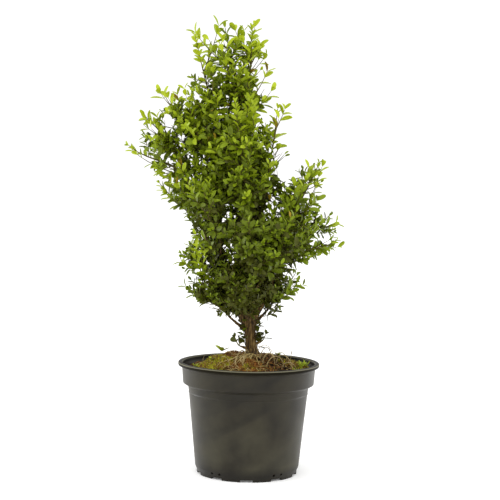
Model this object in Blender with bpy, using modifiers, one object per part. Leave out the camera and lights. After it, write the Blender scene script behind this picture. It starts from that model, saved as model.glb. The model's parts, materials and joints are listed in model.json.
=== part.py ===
"""Boxwood shrub in a round nursery pot, at its real size, in metres with +Z up.

The origin is the centre of the pot's underside. The plant is a trunk with its
boughs, and plumes of leafy shoots that stand on the boughs' tips.
"""

import math
import random
from dataclasses import dataclass

import bmesh
import bpy
from mathutils import Matrix, Vector, geometry

MM = 0.001
GAP = 0.3 * MM  # clearance between pieces that touch on the real plant
MERGE = 0.01 * MM

# Pot: a 5 litre nursery container.
POT_HEIGHT = 180 * MM
RIM_RADIUS = 115 * MM
LIP_HEIGHT = 5 * MM
LIP_EDGE = 1 * MM
LIP_TAPER = 4 * MM
BAND_RADIUS = 108.5 * MM
BAND_FOOT_RADIUS = 106.5 * MM
BAND_FOOT = 146 * MM
STEP_FOOT = 141 * MM
WALL_TOP_RADIUS = 98 * MM
WALL_FOOT_RADIUS = 84.5 * MM
WALL_FOOT = 12 * MM
WALL = 1.8 * MM
BASE_HEIGHT = 5 * MM
FOOT_OUTER = 81.5 * MM
FOOT_INNER = 76 * MM
PAD_RADIUS = 13 * MM
POT_STEPS = 30  # the compost has the same flats, so it lies clear of the wall
NOTCHES = 10
NOTCH_WIDTH = 20 * MM
NOTCH_HEIGHT = 3.5 * MM
DRAINS = 5
DRAIN_SIZE = 4.2 * MM
DRAIN_HEIGHT = 9.8 * MM
DRAIN_SPREAD = 5.0  # degrees to each side of a drain's middle, where its two holes are

# Compost: a mound that stands proud of the rim round the trunk.
GROUND = 190 * MM
GROUND_EDGE = 167 * MM
PLATEAU = 24 * MM
BUMP = 1.8 * MM
COMPOST_RINGS = 4
MOSS_SINK = 0.45  # share of a cushion's height that is under the compost

# Trunk: points along its middle, from the cut on the compost to the top plume.
TRUNK_LINE = (
    (7, 0, 190.3),
    (7, 0, 196),
    (5, 1, 214),
    (4, 2, 240),
    (8, 3, 285),
    (16, 2, 350),
    (18, 0, 415),
    (10, -2, 480),
    (0, 0, 540),
    (-8, 2, 580),
)
LEAN = -0.02  # how far the plant leans sideways, as a share of the height over LEAN_FOOT
LEAN_FOOT = 80
TRUNK_POINTS = 12
TRUNK_RADIUS = 9.5 * MM
TRUNK_TIP_RADIUS = 2.4 * MM
FLARE = 5.0 * MM
FLARE_HEIGHT = 16 * MM
FOOT_CUT = 4 * MM  # what is nearer to the foot than this is brought level with it
ROOT_LOBES = 5
LOBE_DEPTH = 0.2
FORK_HEIGHT = 240 * MM
ABOVE_FORK = 0.62  # the leader's share of the trunk's radius past the fork
LIMB_POINTS = 4
STUB_CLEARANCE = 1.5 * MM
LEAST_FORK_ANGLE = 36.0

# Foliage: every leaf stands for a few, so it is larger than life.
LEAF_LENGTH = 36 * MM
LEAF_WIDTH = 24 * MM
LEAF_SIZES = (1.2, 1.0, 0.75)  # tried in turn until the leaf fits
LEAF_THICKNESS = 1.2 * MM
LEAF_WIDEST = 0.5
LEAF_ANGLE = 52.0
TIP_LEAF_ANGLE = 32.0
LEAF_NODE = 0.86  # where a pair stands on its own length of the twig
LEAF_SPACING = 18 * MM
LEAF_ROOM = 16 * MM  # the least distance between the middles of two leaves
LEAF_PASS = 5 * MM  # the least distance between the midribs of leaves on two twigs
TWIG_RADIUS = 1.25 * MM
TWIG_TIP = 0.65
TWIG_TRIES = 14
TWIG_PROBES = 8  # steps along a twig at which it is tested
TWIG_LEAVES = 2  # the fewest leaves that a twig may carry
STEM_POINTS = 4
FIRST_TWIG = 0.04
LAST_TWIG = 0.86
GOLDEN_ANGLE = 137.5
SPACE_MARGIN = 0.7 * MM
LIMB_MARGIN = 0.8 * MM
FOLIAGE_FOOT = 8 * MM  # the least height of a leaf over the compost


@dataclass(frozen=True)
class Limb:
    """A bough: where it leaves its parent, where it ends, and how thick it is, in mm."""

    name: str
    parent: str
    share: float
    tip: tuple
    radius: float
    tip_radius: float


@dataclass(frozen=True)
class Plume:
    """A mass of leafy shoots on a limb's tip: its furthest leaf tip and its spread, in mm.

    A dense one has a core, whose radius is a share of its spread.
    """

    name: str
    limb: str
    tip: tuple
    width: float
    twigs: int
    core: float = 0.0
    leaf: float = 1.0


LIMBS = (
    Limb("bough_left", "trunk", 0.125, (-92, -4, 468), 5.4, 2.6),
    Limb("bough_right", "trunk", 0.160, (52, -4, 338), 4.6, 2.6),
    Limb("bough_front", "trunk", 0.190, (8, -32, 308), 4.2, 2.4),
    Limb("bough_back", "trunk", 0.220, (10, 36, 318), 4.4, 2.4),
    Limb("bough_skirt_left", "trunk", 0.085, (-34, -14, 260), 2.7, 1.8),
    Limb("bough_low_left", "bough_left", 0.20, (-56, 8, 326), 2.7, 1.8),
    Limb("bough_front_left", "bough_left", 0.36, (-42, -34, 366), 2.7, 1.8),
    Limb("bough_back_left", "bough_left", 0.43, (-46, 34, 372), 2.7, 1.8),
    Limb("bough_mid_left", "bough_left", 0.57, (-78, 12, 402), 2.6, 1.8),
    Limb("bough_upper_left", "bough_left", 0.64, (-64, 4, 500), 2.8, 1.9),
    Limb("bough_left_crest", "bough_left", 0.80, (-98, 10, 506), 2.4, 1.8),
    Limb("bough_skirt_right", "trunk", 0.110, (36, 8, 270), 2.6, 1.8),
    Limb("bough_mid_right", "bough_right", 0.62, (66, 14, 362), 2.5, 1.8),
    Limb("bough_right_crest", "bough_right", 0.76, (60, 2, 388), 2.7, 1.9),
    Limb("bough_front_low", "trunk", 0.125, (-6, -34, 270), 2.4, 1.8),
    Limb("bough_front_right", "bough_front", 0.50, (32, -36, 334), 2.5, 1.8),
    Limb("bough_back_low", "trunk", 0.150, (-8, 36, 276), 2.4, 1.8),
    Limb("bough_back_right", "bough_back", 0.50, (40, 38, 340), 2.5, 1.8),
    Limb("bough_inner", "trunk", 0.43, (-18, -4, 426), 2.7, 1.9),
    Limb("bough_front_upper", "trunk", 0.48, (6, -24, 420), 3.0, 2.0),
    Limb("bough_back_upper", "trunk", 0.52, (9, 24, 430), 3.0, 2.0),
    Limb("bough_upper_right", "trunk", 0.58, (30, 0, 458), 2.7, 1.9),
    Limb("bough_top_left", "trunk", 0.70, (-36, -4, 540), 2.5, 1.8),
    Limb("bough_top_right", "trunk", 0.82, (6, 5, 574), 2.4, 1.8),
    Limb("shoot_left", "trunk", 0.022, (-13, -8, 207), 1.7, 1.3),
    Limb("shoot_right", "trunk", 0.040, (22, -5, 214), 1.7, 1.3),
)

PLUMES = (
    Plume("plume_top", "trunk", (-38, 2, 732), 42, 6),
    Plume("plume_top_left", "bough_top_left", (-86, -8, 716), 44, 7),
    Plume("plume_top_right", "bough_top_right", (8, 4, 731), 40, 7),
    Plume("plume_upper_right", "bough_upper_right", (50, -4, 604), 48, 6),
    Plume("plume_inner", "bough_inner", (-52, -6, 582), 50, 7, 0.15, 0.82),
    Plume("plume_front_upper", "bough_front_upper", (-20, -78, 606), 50, 5, 0.2),
    Plume("plume_back_upper", "bough_back_upper", (-14, 80, 612), 52, 5, 0.2),
    Plume("plume_upper_left", "bough_upper_left", (-140, 4, 622), 52, 7),
    Plume("plume_left_crest", "bough_left_crest", (-174, 8, 588), 44, 6),
    Plume("plume_left", "bough_left", (-200, -10, 536), 44, 6, 0.0, 0.82),
    Plume("plume_mid_left", "bough_mid_left", (-150, 8, 478), 48, 6, 0.15, 0.82),
    Plume("plume_back_left", "bough_back_left", (-108, 72, 486), 52, 6, 0.25),
    Plume("plume_front_left", "bough_front_left", (-98, -80, 482), 50, 6, 0.25),
    Plume("plume_low_left", "bough_low_left", (-116, 4, 362), 48, 6, 0.2, 0.82),
    Plume("plume_skirt_left", "bough_skirt_left", (-98, -8, 322), 48, 6, 0.2, 0.82),
    Plume("plume_right_crest", "bough_right_crest", (120, 4, 517), 50, 6, 0.15),
    Plume("plume_mid_right", "bough_mid_right", (140, 12, 430), 46, 5, 0.15, 0.82),
    Plume("plume_right", "bough_right", (152, -10, 388), 48, 7, 0.2, 0.82),
    Plume("plume_skirt_right", "bough_skirt_right", (84, 10, 336), 48, 6, 0.2, 0.82),
    Plume("plume_front_right", "bough_front_right", (80, -80, 438), 50, 6, 0.25),
    Plume("plume_back_right", "bough_back_right", (82, 82, 446), 50, 6, 0.25),
    Plume("plume_front", "bough_front", (2, -110, 432), 50, 6, 0.25),
    Plume("plume_front_low", "bough_front_low", (-24, -74, 332), 50, 6, 0.2, 0.82),
    Plume("plume_back", "bough_back", (-12, 112, 448), 52, 6, 0.25),
    Plume("plume_back_low", "bough_back_low", (-32, 74, 336), 50, 6, 0.2, 0.82),
    Plume("sprig_left", "shoot_left", (-24, -12, 233), 16, 2, 0.0, 0.42),
    Plume("sprig_right", "shoot_right", (34, -9, 238), 16, 2, 0.0, 0.40),
)

# The crown's outline from the front: at each height, how far it reaches left and right, in mm.
CROWN_OUTLINE = (
    (198, -26, 36),
    (244, -36, 42),
    (256, -56, 52),
    (276, -80, 62),
    (302, -112, 80),
    (330, -112, 98),
    (350, -124, 106),
    (372, -107, 158),
    (418, -112, 147),
    (468, -158, 122),
    (500, -152, 126),
    (518, -192, 124),
    (532, -201, 48),
    (560, -184, 48),
    (588, -178, 58),
    (604, -138, 60),
    (625, -150, 46),
    (645, -90, 32),
    (664, -80, 42),
    (700, -84, 26),
    (722, -92, 22),
    (741, -42, 17),
)
CROWN_DEPTH = 0.95  # the crown's depth as a share of its width
REACH_SLACK = 9 * MM

# Moss cushions: middle, half length, half width and height, in mm.
MOSS = (
    ("moss_left", (-54, -34), 36, 25, 9),
    ("moss_front", (16, -66), 34, 20, 7),
    ("moss_right", (72, -10), 24, 28, 7),
)
MOSS_SEGMENTS = 9
MOSS_RINGS = 4


def leaning(point):
    """A point of the tables, in mm, in metres and moved sideways by the plant's lean."""
    x, y, z = point
    return Vector((x + LEAN * (z - LEAN_FOOT), y, z)) * MM


def material(name, colour, roughness):
    """A matte surface of one colour."""
    made = bpy.data.materials.new(name)
    made.use_nodes = True
    shader = made.node_tree.nodes["Principled BSDF"]
    shader.inputs["Base Color"].default_value = (*colour, 1.0)
    shader.inputs["Roughness"].default_value = roughness
    shader.inputs["Metallic"].default_value = 0.0
    return made


def clear_scene():
    """Removes what a new Blender file holds."""
    for obj in list(bpy.data.objects):
        bpy.data.objects.remove(obj)


def collection(name):
    """A collection in the scene."""
    made = bpy.data.collections.new(name)
    bpy.context.scene.collection.children.link(made)
    return made


def link_mesh(bm, name, where):
    """An object made from a bmesh, which is freed."""
    mesh = bpy.data.meshes.new(name)
    bm.to_mesh(mesh)
    bm.free()
    obj = bpy.data.objects.new(name, mesh)
    where.objects.link(obj)
    return obj


def applied(obj):
    """The object with its modifiers applied."""
    graph = bpy.context.evaluated_depsgraph_get()
    mesh = bpy.data.meshes.new_from_object(obj.evaluated_get(graph))
    obj.modifiers.clear()
    obj.data = mesh
    return obj


def boolean(obj, operation, helpers, solver="EXACT"):
    """Joins or cuts the object with all of a collection, and removes the helpers."""
    modifier = obj.modifiers.new(operation.title(), "BOOLEAN")
    modifier.operation = operation
    modifier.solver = solver
    modifier.operand_type = "COLLECTION"
    modifier.collection = helpers
    bpy.context.view_layer.update()
    applied(obj)
    for helper in list(helpers.objects):
        bpy.data.objects.remove(helper)
    bpy.data.collections.remove(helpers)
    return obj


def tube(name, points, radii, resolution, where):
    """A round limb along a line, tapering from radius to radius, as a closed mesh."""
    curve = bpy.data.curves.new(name, "CURVE")
    curve.dimensions = "3D"
    curve.bevel_depth = 1.0
    curve.bevel_resolution = resolution
    curve.use_fill_caps = True
    spline = curve.splines.new("POLY")
    spline.points.add(len(points) - 1)
    for target, point, radius in zip(spline.points, points, radii):
        target.co = (*point, 1.0)
        target.radius = radius
    guide = bpy.data.objects.new(name + "_line", curve)
    where.objects.link(guide)
    graph = bpy.context.evaluated_depsgraph_get()
    mesh = bpy.data.meshes.new_from_object(guide.evaluated_get(graph))
    bpy.data.objects.remove(guide)
    bm = bmesh.new()
    bm.from_mesh(mesh)
    bmesh.ops.remove_doubles(bm, verts=bm.verts, dist=MERGE)
    bmesh.ops.recalc_face_normals(bm, faces=bm.faces)
    return link_mesh(bm, name, where)


def cone(name, start, end, radius, end_radius, sides, where):
    """A straight twig or stub between two points."""
    bm = bmesh.new()
    line = end - start
    bmesh.ops.create_cone(
        bm, cap_ends=True, segments=sides, radius1=radius, radius2=end_radius, depth=line.length
    )
    turn = line.to_track_quat("Z", "Y").to_matrix().to_4x4()
    bmesh.ops.transform(bm, matrix=Matrix.Translation((start + end) / 2) @ turn, verts=bm.verts)
    return link_mesh(bm, name, where)


def turned(name, profile, steps, where):
    """A solid turned round the Z axis from a profile that runs down its outer side."""
    bm = bmesh.new()
    points = [bm.verts.new((radius, 0.0, height)) for radius, height in profile]
    for start, end in zip(points, points[1:]):
        bm.edges.new((start, end))
    obj = link_mesh(bm, name, where)
    screw = obj.modifiers.new("Turn", "SCREW")
    screw.steps = steps
    screw.render_steps = steps
    screw.use_merge_vertices = True
    screw.merge_threshold = MERGE
    screw.use_smooth_shade = False
    return applied(obj)


def block(name, middle, size, turn, where):
    """A box cutter, turned round the pot's axis."""
    bm = bmesh.new()
    bmesh.ops.create_cube(bm, size=1.0)
    place = Matrix.Rotation(turn, 4, "Z") @ Matrix.Translation(middle) @ Matrix.Diagonal((*size, 1.0))
    bmesh.ops.transform(bm, matrix=place, verts=bm.verts)
    return link_mesh(bm, name, where)


def pot_outside():
    """The pot's outer profile, from the lip's inner edge down to the middle of its foot."""
    lip_foot = POT_HEIGHT - LIP_HEIGHT
    return [
        (BAND_RADIUS - WALL, POT_HEIGHT),
        (RIM_RADIUS - LIP_EDGE, POT_HEIGHT),
        (RIM_RADIUS, POT_HEIGHT - LIP_EDGE),
        (RIM_RADIUS, lip_foot),
        (BAND_RADIUS, lip_foot - LIP_TAPER),
        (BAND_FOOT_RADIUS, BAND_FOOT),
        (WALL_TOP_RADIUS, STEP_FOOT),
        (WALL_FOOT_RADIUS, WALL_FOOT),
        (FOOT_OUTER, BASE_HEIGHT),
        (FOOT_OUTER, 0.0),
        (FOOT_INNER, 0.0),
        (FOOT_INNER, BASE_HEIGHT),
        (PAD_RADIUS, BASE_HEIGHT),
        (PAD_RADIUS, 0.0),
        (0.0, 0.0),
    ]


def pot_inside(clearance):
    """The pot's inner profile from its floor up to its band, moved inwards by a clearance."""
    inset = WALL + clearance
    return [
        (0.0, BASE_HEIGHT + inset),
        (FOOT_OUTER - inset, BASE_HEIGHT + inset),
        (WALL_FOOT_RADIUS - inset, WALL_FOOT + clearance),
        (WALL_TOP_RADIUS - inset, STEP_FOOT + inset),
        (BAND_FOOT_RADIUS - inset, BAND_FOOT + inset),
    ]


def make_pot(parts, plastic):
    """The pot: a thin shell with a stepped band, notched feet and drain holes."""
    profile = pot_outside() + pot_inside(0.0) + [(BAND_RADIUS - WALL, POT_HEIGHT)]
    pot = turned("pot", profile, POT_STEPS, parts)
    cutters = collection("pot_cutters")
    foot = (FOOT_OUTER + FOOT_INNER) / 2
    deep = 2 * (FOOT_OUTER - FOOT_INNER)
    for i in range(NOTCHES):
        turn = math.radians(360 * i / NOTCHES - 90)
        block("notch", (foot, 0.0, 0.0), (deep, NOTCH_WIDTH, 2 * NOTCH_HEIGHT), turn, cutters)
    wall_middle = WALL_FOOT_RADIUS - WALL
    for i in range(DRAINS):
        middle = 360 * (i + 0.5) / DRAINS - 90
        for side in (-DRAIN_SPREAD, DRAIN_SPREAD):
            size = (4 * WALL, DRAIN_SIZE, DRAIN_SIZE)
            place = (wall_middle, 0.0, DRAIN_HEIGHT)
            block("drain", place, size, math.radians(middle + side), cutters)
    boolean(pot, "DIFFERENCE", cutters)
    pot.data.materials.append(plastic)
    return pot


def ground_height(x, y):
    """The compost's height: flat round the trunk, then rounding down to the wall, with bumps."""
    radius = math.hypot(x, y)
    edge = BAND_FOOT_RADIUS - WALL - GAP
    fall = min(max((radius - PLATEAU) / (edge - PLATEAU), 0.0), 1.0)
    eased = fall * fall * (3 - 2 * fall)
    turn = math.atan2(y, x)
    bumps = math.sin(3 * turn + 1.1) + math.sin(5 * turn + 70 * radius) + math.sin(90 * x - 40 * y)
    return GROUND + (GROUND_EDGE - GROUND) * eased + BUMP * bumps * math.sin(math.pi * fall)


def make_compost(parts, earth):
    """The compost, which fills the pot and mounds up to the trunk."""
    edge = BAND_FOOT_RADIUS - WALL - GAP
    top = [(0.0, GROUND)]
    for i in range(COMPOST_RINGS):
        top.append((PLATEAU + (edge - PLATEAU) * i / (COMPOST_RINGS - 1), GROUND_EDGE))
    compost = turned("compost", top + pot_inside(GAP)[::-1], POT_STEPS, parts)
    bm = bmesh.new()
    bm.from_mesh(compost.data)
    for vertex in bm.verts:
        if vertex.co.z > GROUND_EDGE - MERGE:
            vertex.co.z = ground_height(vertex.co.x, vertex.co.y)
    bmesh.ops.triangulate(bm, faces=bm.faces)
    bm.to_mesh(compost.data)
    bm.free()
    compost.data.materials.append(earth)
    return compost


def make_moss(compost, parts, green):
    """Low moss cushions that lie on the compost."""
    for name, (x, y), half_length, half_width, height in MOSS:
        tall = height * MM / (1 - MOSS_SINK)
        bm = bmesh.new()
        bmesh.ops.create_uvsphere(bm, u_segments=MOSS_SEGMENTS, v_segments=MOSS_RINGS, radius=1.0)
        middle = Vector((x * MM, y * MM, ground_height(x * MM, y * MM) - MOSS_SINK * tall))
        turn = Matrix.Rotation(math.atan2(y, x) + math.pi / 2, 4, "Z")
        size = Matrix.Diagonal((half_length * MM, half_width * MM, tall, 1.0))
        place = Matrix.Translation(middle) @ turn @ size
        bmesh.ops.transform(bm, matrix=place, verts=bm.verts)
        cushion = link_mesh(bm, name, parts)
        cutters = collection(name + "_cutters")
        cutter = bpy.data.objects.new(name + "_ground", compost.data.copy())
        cutters.objects.link(cutter)
        for vertex in cutter.data.vertices:
            vertex.co.z += GAP
        boolean(cushion, "DIFFERENCE", cutters)
        keep_largest(cushion)
        cushion.data.materials.append(green)


def keep_largest(obj):
    """Drops the loose scraps that a Boolean leaves beside the main body."""
    bm = bmesh.new()
    bm.from_mesh(obj.data)
    left = set(bm.verts)
    bodies = []
    while left:
        body = set()
        edge = [left.pop()]
        while edge:
            vertex = edge.pop()
            body.add(vertex)
            for link in vertex.link_edges:
                other = link.other_vert(vertex)
                if other in left:
                    left.remove(other)
                    edge.append(other)
        bodies.append(body)
    main_body = max(bodies, key=len)
    scraps = [vertex for vertex in bm.verts if vertex not in main_body]
    bmesh.ops.delete(bm, geom=scraps, context="VERTS")
    bm.to_mesh(obj.data)
    bm.free()


def bezier(start, start_way, end, end_way, count):
    """Points along a smooth curve that leaves and arrives in the ways given."""
    reach = (end - start).length / 3
    first, second = start + start_way * reach, end - end_way * reach
    points = []
    for i in range(count):
        t = i / (count - 1)
        s = 1 - t
        points.append(start * s**3 + first * 3 * s * s * t + second * 3 * s * t * t + end * t**3)
    return points


def grown_from(foot, way, tip, tip_way, radius, count):
    """A curve from a flat end on to a tip, starting so that its tilted end clears the flat one."""
    line = bezier(foot + way * GAP, way, tip, tip_way, count)
    for _ in range(3):
        tilt = way.angle(line[1] - line[0])
        line[0] = foot + way * (GAP + radius * math.sin(tilt))
    return line


def smooth_line(points, count):
    """Evenly spaced points on a smooth curve through a few points."""
    ends = [points[0] * 2 - points[1], *points, points[-1] * 2 - points[-2]]
    fine = []
    for i in range(1, len(ends) - 2):
        a, b, c, d = ends[i - 1 : i + 3]
        for step in range(8):
            t = step / 8
            middle = (c - a) * t + (a * 2 - b * 5 + c * 4 - d) * t * t
            fine.append(b + (middle + (b * 3 - c * 3 + d - a) * t**3) * 0.5)
    fine.append(points[-1].copy())
    return [at_share(fine, i / (count - 1))[0] for i in range(count)]


def at_share(line, share):
    """(point, direction) at a share of a line's length."""
    lengths = [(b - a).length for a, b in zip(line, line[1:])]
    left = share * sum(lengths)
    for (a, b), length in zip(zip(line, line[1:]), lengths):
        if left <= length:
            return a.lerp(b, left / length), (b - a).normalized()
        left -= length
    return line[-1].copy(), (line[-1] - line[-2]).normalized()


def between(first, second):
    """The least distance between two straight pieces, each a pair of end points."""
    near = geometry.intersect_line_line(*first, *second)
    ends = [from_line(second, p)[0] for p in first] + [from_line(first, p)[0] for p in second]
    if near and all(from_line(piece, p)[0] < MERGE for piece, p in zip((first, second), near)):
        ends.append((near[0] - near[1]).length)
    return min(ends)


def from_line(line, point):
    """How far a point is from a line, and the share of the line's points where it is nearest."""
    best, where = math.inf, 0.0
    for i, (a, b) in enumerate(zip(line, line[1:])):
        along = b - a
        t = min(max((point - a).dot(along) / along.length_squared, 0.0), 1.0)
        away = (point - a - along * t).length
        if away < best:
            best, where = away, (i + t) / (len(line) - 1)
    return best, where


class Skeleton:
    """The lines and radii of the trunk and boughs, before any solid is made."""

    def __init__(self):
        """Works out each limb's line from its parent's."""
        trunk = smooth_line([leaning(p) for p in TRUNK_LINE], TRUNK_POINTS)
        self.lines = {"trunk": trunk}
        self.radii = {"trunk": [self.trunk_radius(p) for p in trunk]}
        self.stubs = {name: [] for name in ["trunk", *(limb.name for limb in LIMBS)]}
        for limb in LIMBS:
            self.add(limb)

    def trunk_radius(self, point):
        """The trunk's radius at a point: flared at its foot, slimmer above the fork."""
        tip = TRUNK_LINE[-1][2] * MM
        flare = FLARE * max(1 - (point.z - GROUND) / FLARE_HEIGHT, 0.0) ** 2
        if point.z < FORK_HEIGHT:
            return TRUNK_RADIUS + flare
        start = TRUNK_RADIUS * ABOVE_FORK
        share = (point.z - FORK_HEIGHT) / (tip - FORK_HEIGHT)
        soften = max(1 - (point.z - FORK_HEIGHT) / (2 * TRUNK_RADIUS), 0.0)
        return start + (TRUNK_TIP_RADIUS - start) * share + (TRUNK_RADIUS - start) * soften

    def radius_at(self, name, share):
        """A limb's radius at a share of its points."""
        radii = self.radii[name]
        place = share * (len(radii) - 1)
        low = min(int(place), len(radii) - 2)
        return radii[low] + (radii[low + 1] - radii[low]) * (place - low)

    def add(self, limb):
        """A bough's line: out of its parent along a stub, then on to its tip."""
        line = self.lines[limb.parent]
        foot, parent_way = at_share(line, limb.share)
        tip = leaning(limb.tip)
        out = (tip - foot).normalized()
        angle = max(parent_way.angle(out), math.radians(LEAST_FORK_ANGLE))
        side = (out - parent_way * out.dot(parent_way)).normalized()
        way = parent_way * math.cos(angle) + side * math.sin(angle)
        thick = limb.radius * MM
        parent_thick = self.radius_at(limb.parent, from_line(line, foot)[1])
        clear = parent_thick + STUB_CLEARANCE + thick * math.cos(angle)
        stub = foot + way * (clear / math.sin(angle))
        self.stubs[limb.parent].append((foot, stub, thick))
        rise = (out + Vector((0, 0, 0.35))).normalized()
        self.lines[limb.name] = grown_from(stub, way, tip, rise, thick, LIMB_POINTS)
        step = (limb.tip_radius * MM - thick) / (LIMB_POINTS - 1)
        self.radii[limb.name] = [thick + step * i for i in range(LIMB_POINTS)]


def make_limb(name, skeleton, parts, bark):
    """A limb as one tapering solid, with the stubs that its own boughs stand on."""
    is_trunk = name == "trunk"
    limb = tube(name, skeleton.lines[name], skeleton.radii[name], 2 if is_trunk else 1, parts)
    if is_trunk:
        lobe_root_flare(limb, skeleton.lines[name][0])
    helpers = collection(name + "_helpers")
    for foot, end, thick in skeleton.stubs[name]:
        cone("stub", foot, end, thick, thick, 6, helpers)
    boolean(limb, "UNION", helpers)
    keep_largest(limb)
    limb.data.materials.append(bark)
    return limb


def lobe_root_flare(trunk, foot):
    """Cuts the trunk's foot level, and draws it out into lobes where the roots leave it."""
    for vertex in trunk.data.vertices:
        if vertex.co.z < foot.z + FOOT_CUT:
            vertex.co.z = foot.z
        fade = 1 - (vertex.co.z - foot.z) / FLARE_HEIGHT
        if fade > 0:
            out = Vector((vertex.co.x - foot.x, vertex.co.y - foot.y, 0.0))
            lobe = math.cos(ROOT_LOBES * math.atan2(out.y, out.x) + 0.6)
            vertex.co += out * LOBE_DEPTH * fade * lobe


def crown_sides(height):
    """How far the crown reaches left and right at a height."""
    rows = [tuple(value * MM for value in row) for row in CROWN_OUTLINE]
    moved = LEAN * (height - LEAN_FOOT * MM)
    for low, high in zip(rows, rows[1:]):
        if low[0] <= height <= high[0]:
            share = (height - low[0]) / (high[0] - low[0])
            left = low[1] + (high[1] - low[1]) * share
            right = low[2] + (high[2] - low[2]) * share
            return left + moved, right + moved
    return 0.0, 0.0


class Foliage:
    """The plumes' stems and spaces, and the test of what fits in them."""

    def __init__(self, skeleton):
        """Works out each plume's stem, and with it the space that the plume keeps to."""
        self.skeleton = skeleton
        self.stems = {}
        self.widths = {}
        for plume in PLUMES:
            line = skeleton.lines[plume.limb]
            foot = skeleton.radii[plume.limb][-1]
            way = (line[-1] - line[-2]).normalized()
            tip = leaning(plume.tip)
            out = (tip - line[-1]).normalized()
            rise = (out + Vector((0, 0, 0.3))).normalized()
            end = tip - rise * LEAF_LENGTH * plume.leaf * 0.9
            self.stems[plume.name] = grown_from(line[-1], way, end, rise, foot, STEM_POINTS)
            self.widths[plume.name] = plume.width * MM

    def in_crown(self, point):
        """Whether a point is inside the crown, whose level sections are ellipses."""
        left, right = crown_sides(point.z)
        half = (right - left) / 2 + REACH_SLACK
        across = (point.x - (left + right) / 2) / half
        return math.hypot(across, point.y / (half * CROWN_DEPTH)) <= 1

    def in_space(self, name, point):
        """Whether a point is nearer to this plume's stem than to any other's, for their widths."""
        mine = from_line(self.stems[name], point)[0]
        width = self.widths[name]
        for other, line in self.stems.items():
            if other == name:
                continue
            away = from_line(line, point)[0]
            share = width / (width + self.widths[other])
            if mine > (mine + away) * share - SPACE_MARGIN:
                return False
        return True

    def clear_of_limbs(self, point, thick):
        """Whether a ball round a point is clear of the compost, trunk, boughs and their stubs."""
        if point.z < GROUND + FOLIAGE_FOOT:
            return False
        for name, line in self.skeleton.lines.items():
            away, share = from_line(line, point)
            if away < self.skeleton.radius_at(name, share) + LIMB_MARGIN + thick:
                return False
            for foot, end, stub_thick in self.skeleton.stubs[name]:
                if from_line([foot, end], point)[0] < stub_thick + LIMB_MARGIN + thick:
                    return False
        return True

    def fits(self, name, points, thick=0.0):
        """Whether a twig's or leaf's points keep to the plume's space and off every limb."""
        kept = (self.in_crown(p) and self.in_space(name, p) for p in points)
        return all(kept) and all(self.clear_of_limbs(p, thick) for p in points)

    def clear_of_others(self, plume, leaf, mates, others):
        """Whether a leaf stands clear of its own twig's leaves and of what grows on other twigs."""
        room = LEAF_ROOM * plume.leaf
        if any((leaf[-1] - other[-1]).length < room for other in mates + others):
            return False
        rib = (leaf[0], leaf[2])
        return all(between(rib, (other[0], other[2])) > LEAF_PASS * plume.leaf for other in others)

    def leaves_on(self, plume, start, end, turn, others):
        """The leaves that fit on a twig, in pairs, each pair square to the last."""
        line = end - start
        way = line.normalized()
        pairs = max(round(line.length / (LEAF_SPACING * plume.leaf)), 1)
        places = []
        for pair in range(pairs):
            lean = math.radians(LEAF_ANGLE if pair < pairs - 1 else TIP_LEAF_ANGLE)
            node = start + line * (pair + LEAF_NODE) / pairs
            out, across = side_ways(way, turn + pair * math.pi / 2)
            for sign in (1, -1):
                places.append((node, way * math.cos(lean) + out * math.sin(lean) * sign, across))
        leaves = []
        for place in places:
            for size in LEAF_SIZES:
                leaf = leaf_corners(*place, size * plume.leaf)
                if not self.clear_of_others(plume, leaf, leaves, others):
                    continue
                if self.fits(plume.name, leaf_probes(leaf)):
                    leaves.append(leaf)
                    break
        return leaves


def leaf_corners(root, way, across, scale):
    """A leaf's root, side, tip, other side and middle; its sides stand up off its midrib."""
    over = across.cross(way).normalized()
    middle = root + way * LEAF_LENGTH * LEAF_WIDEST * scale + over * LEAF_THICKNESS
    side = across * LEAF_WIDTH / 2 * scale
    tip = root + way * LEAF_LENGTH * scale
    return [root, middle + side, tip, middle - side, middle]


def leaf_probes(corners):
    """Points all over a leaf, at which it is tested: its corners, edges and midrib."""
    root, side, tip, other, middle = corners
    probes = [side, tip, other, middle, root.lerp(tip, 0.25), root.lerp(tip, 0.75)]
    for edge in (side, other):
        probes += [root.lerp(edge, 0.5), root.lerp(edge, 0.75), edge.lerp(tip, 0.33), edge.lerp(tip, 0.67)]
        probes += [middle.lerp(edge, 0.5), middle.lerp(root.lerp(edge, 0.5), 0.5)]
        probes += [middle.lerp(edge.lerp(tip, 0.5), 0.5), middle.lerp(edge.lerp(tip, 0.5), 0.85)]
    return probes


def make_leaf(corners, where):
    """A leaf: a thin closed blade of four faces, folded up a little from its midrib."""
    bm = bmesh.new()
    root, side, tip, other = [bm.verts.new(corner) for corner in corners[:4]]
    for face in ((root, side, other), (tip, other, side), (root, tip, side), (tip, root, other)):
        bm.faces.new(face)
    bmesh.ops.recalc_face_normals(bm, faces=bm.faces)
    return link_mesh(bm, "leaf", where)


def side_ways(way, turn):
    """Two directions square to a way and to each other, turned about it."""
    spare = Vector((0, 0, 1)) if abs(way.z) < 0.9 else Vector((1, 0, 0))
    first = way.cross(spare).normalized()
    first.rotate(Matrix.Rotation(turn, 3, way))
    return first, way.cross(first).normalized()


def twig_end(plume, start, way, share, turn, stretch):
    """Where a side twig ends: out from its stem, shorter and more upright towards the tip."""
    lean = math.radians(58 - 22 * share)
    swell = math.sin(math.pi * (0.25 + 0.62 * share))
    leaf = LEAF_LENGTH * plume.leaf
    length = max(plume.width * MM * swell / math.sin(lean) - leaf / 2, leaf / 2) * stretch
    out = side_ways(way, turn)[0]
    twig_way = way * math.cos(lean) + out * math.sin(lean) + Vector((0, 0, 0.12))
    return start + twig_way.normalized() * length


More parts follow.
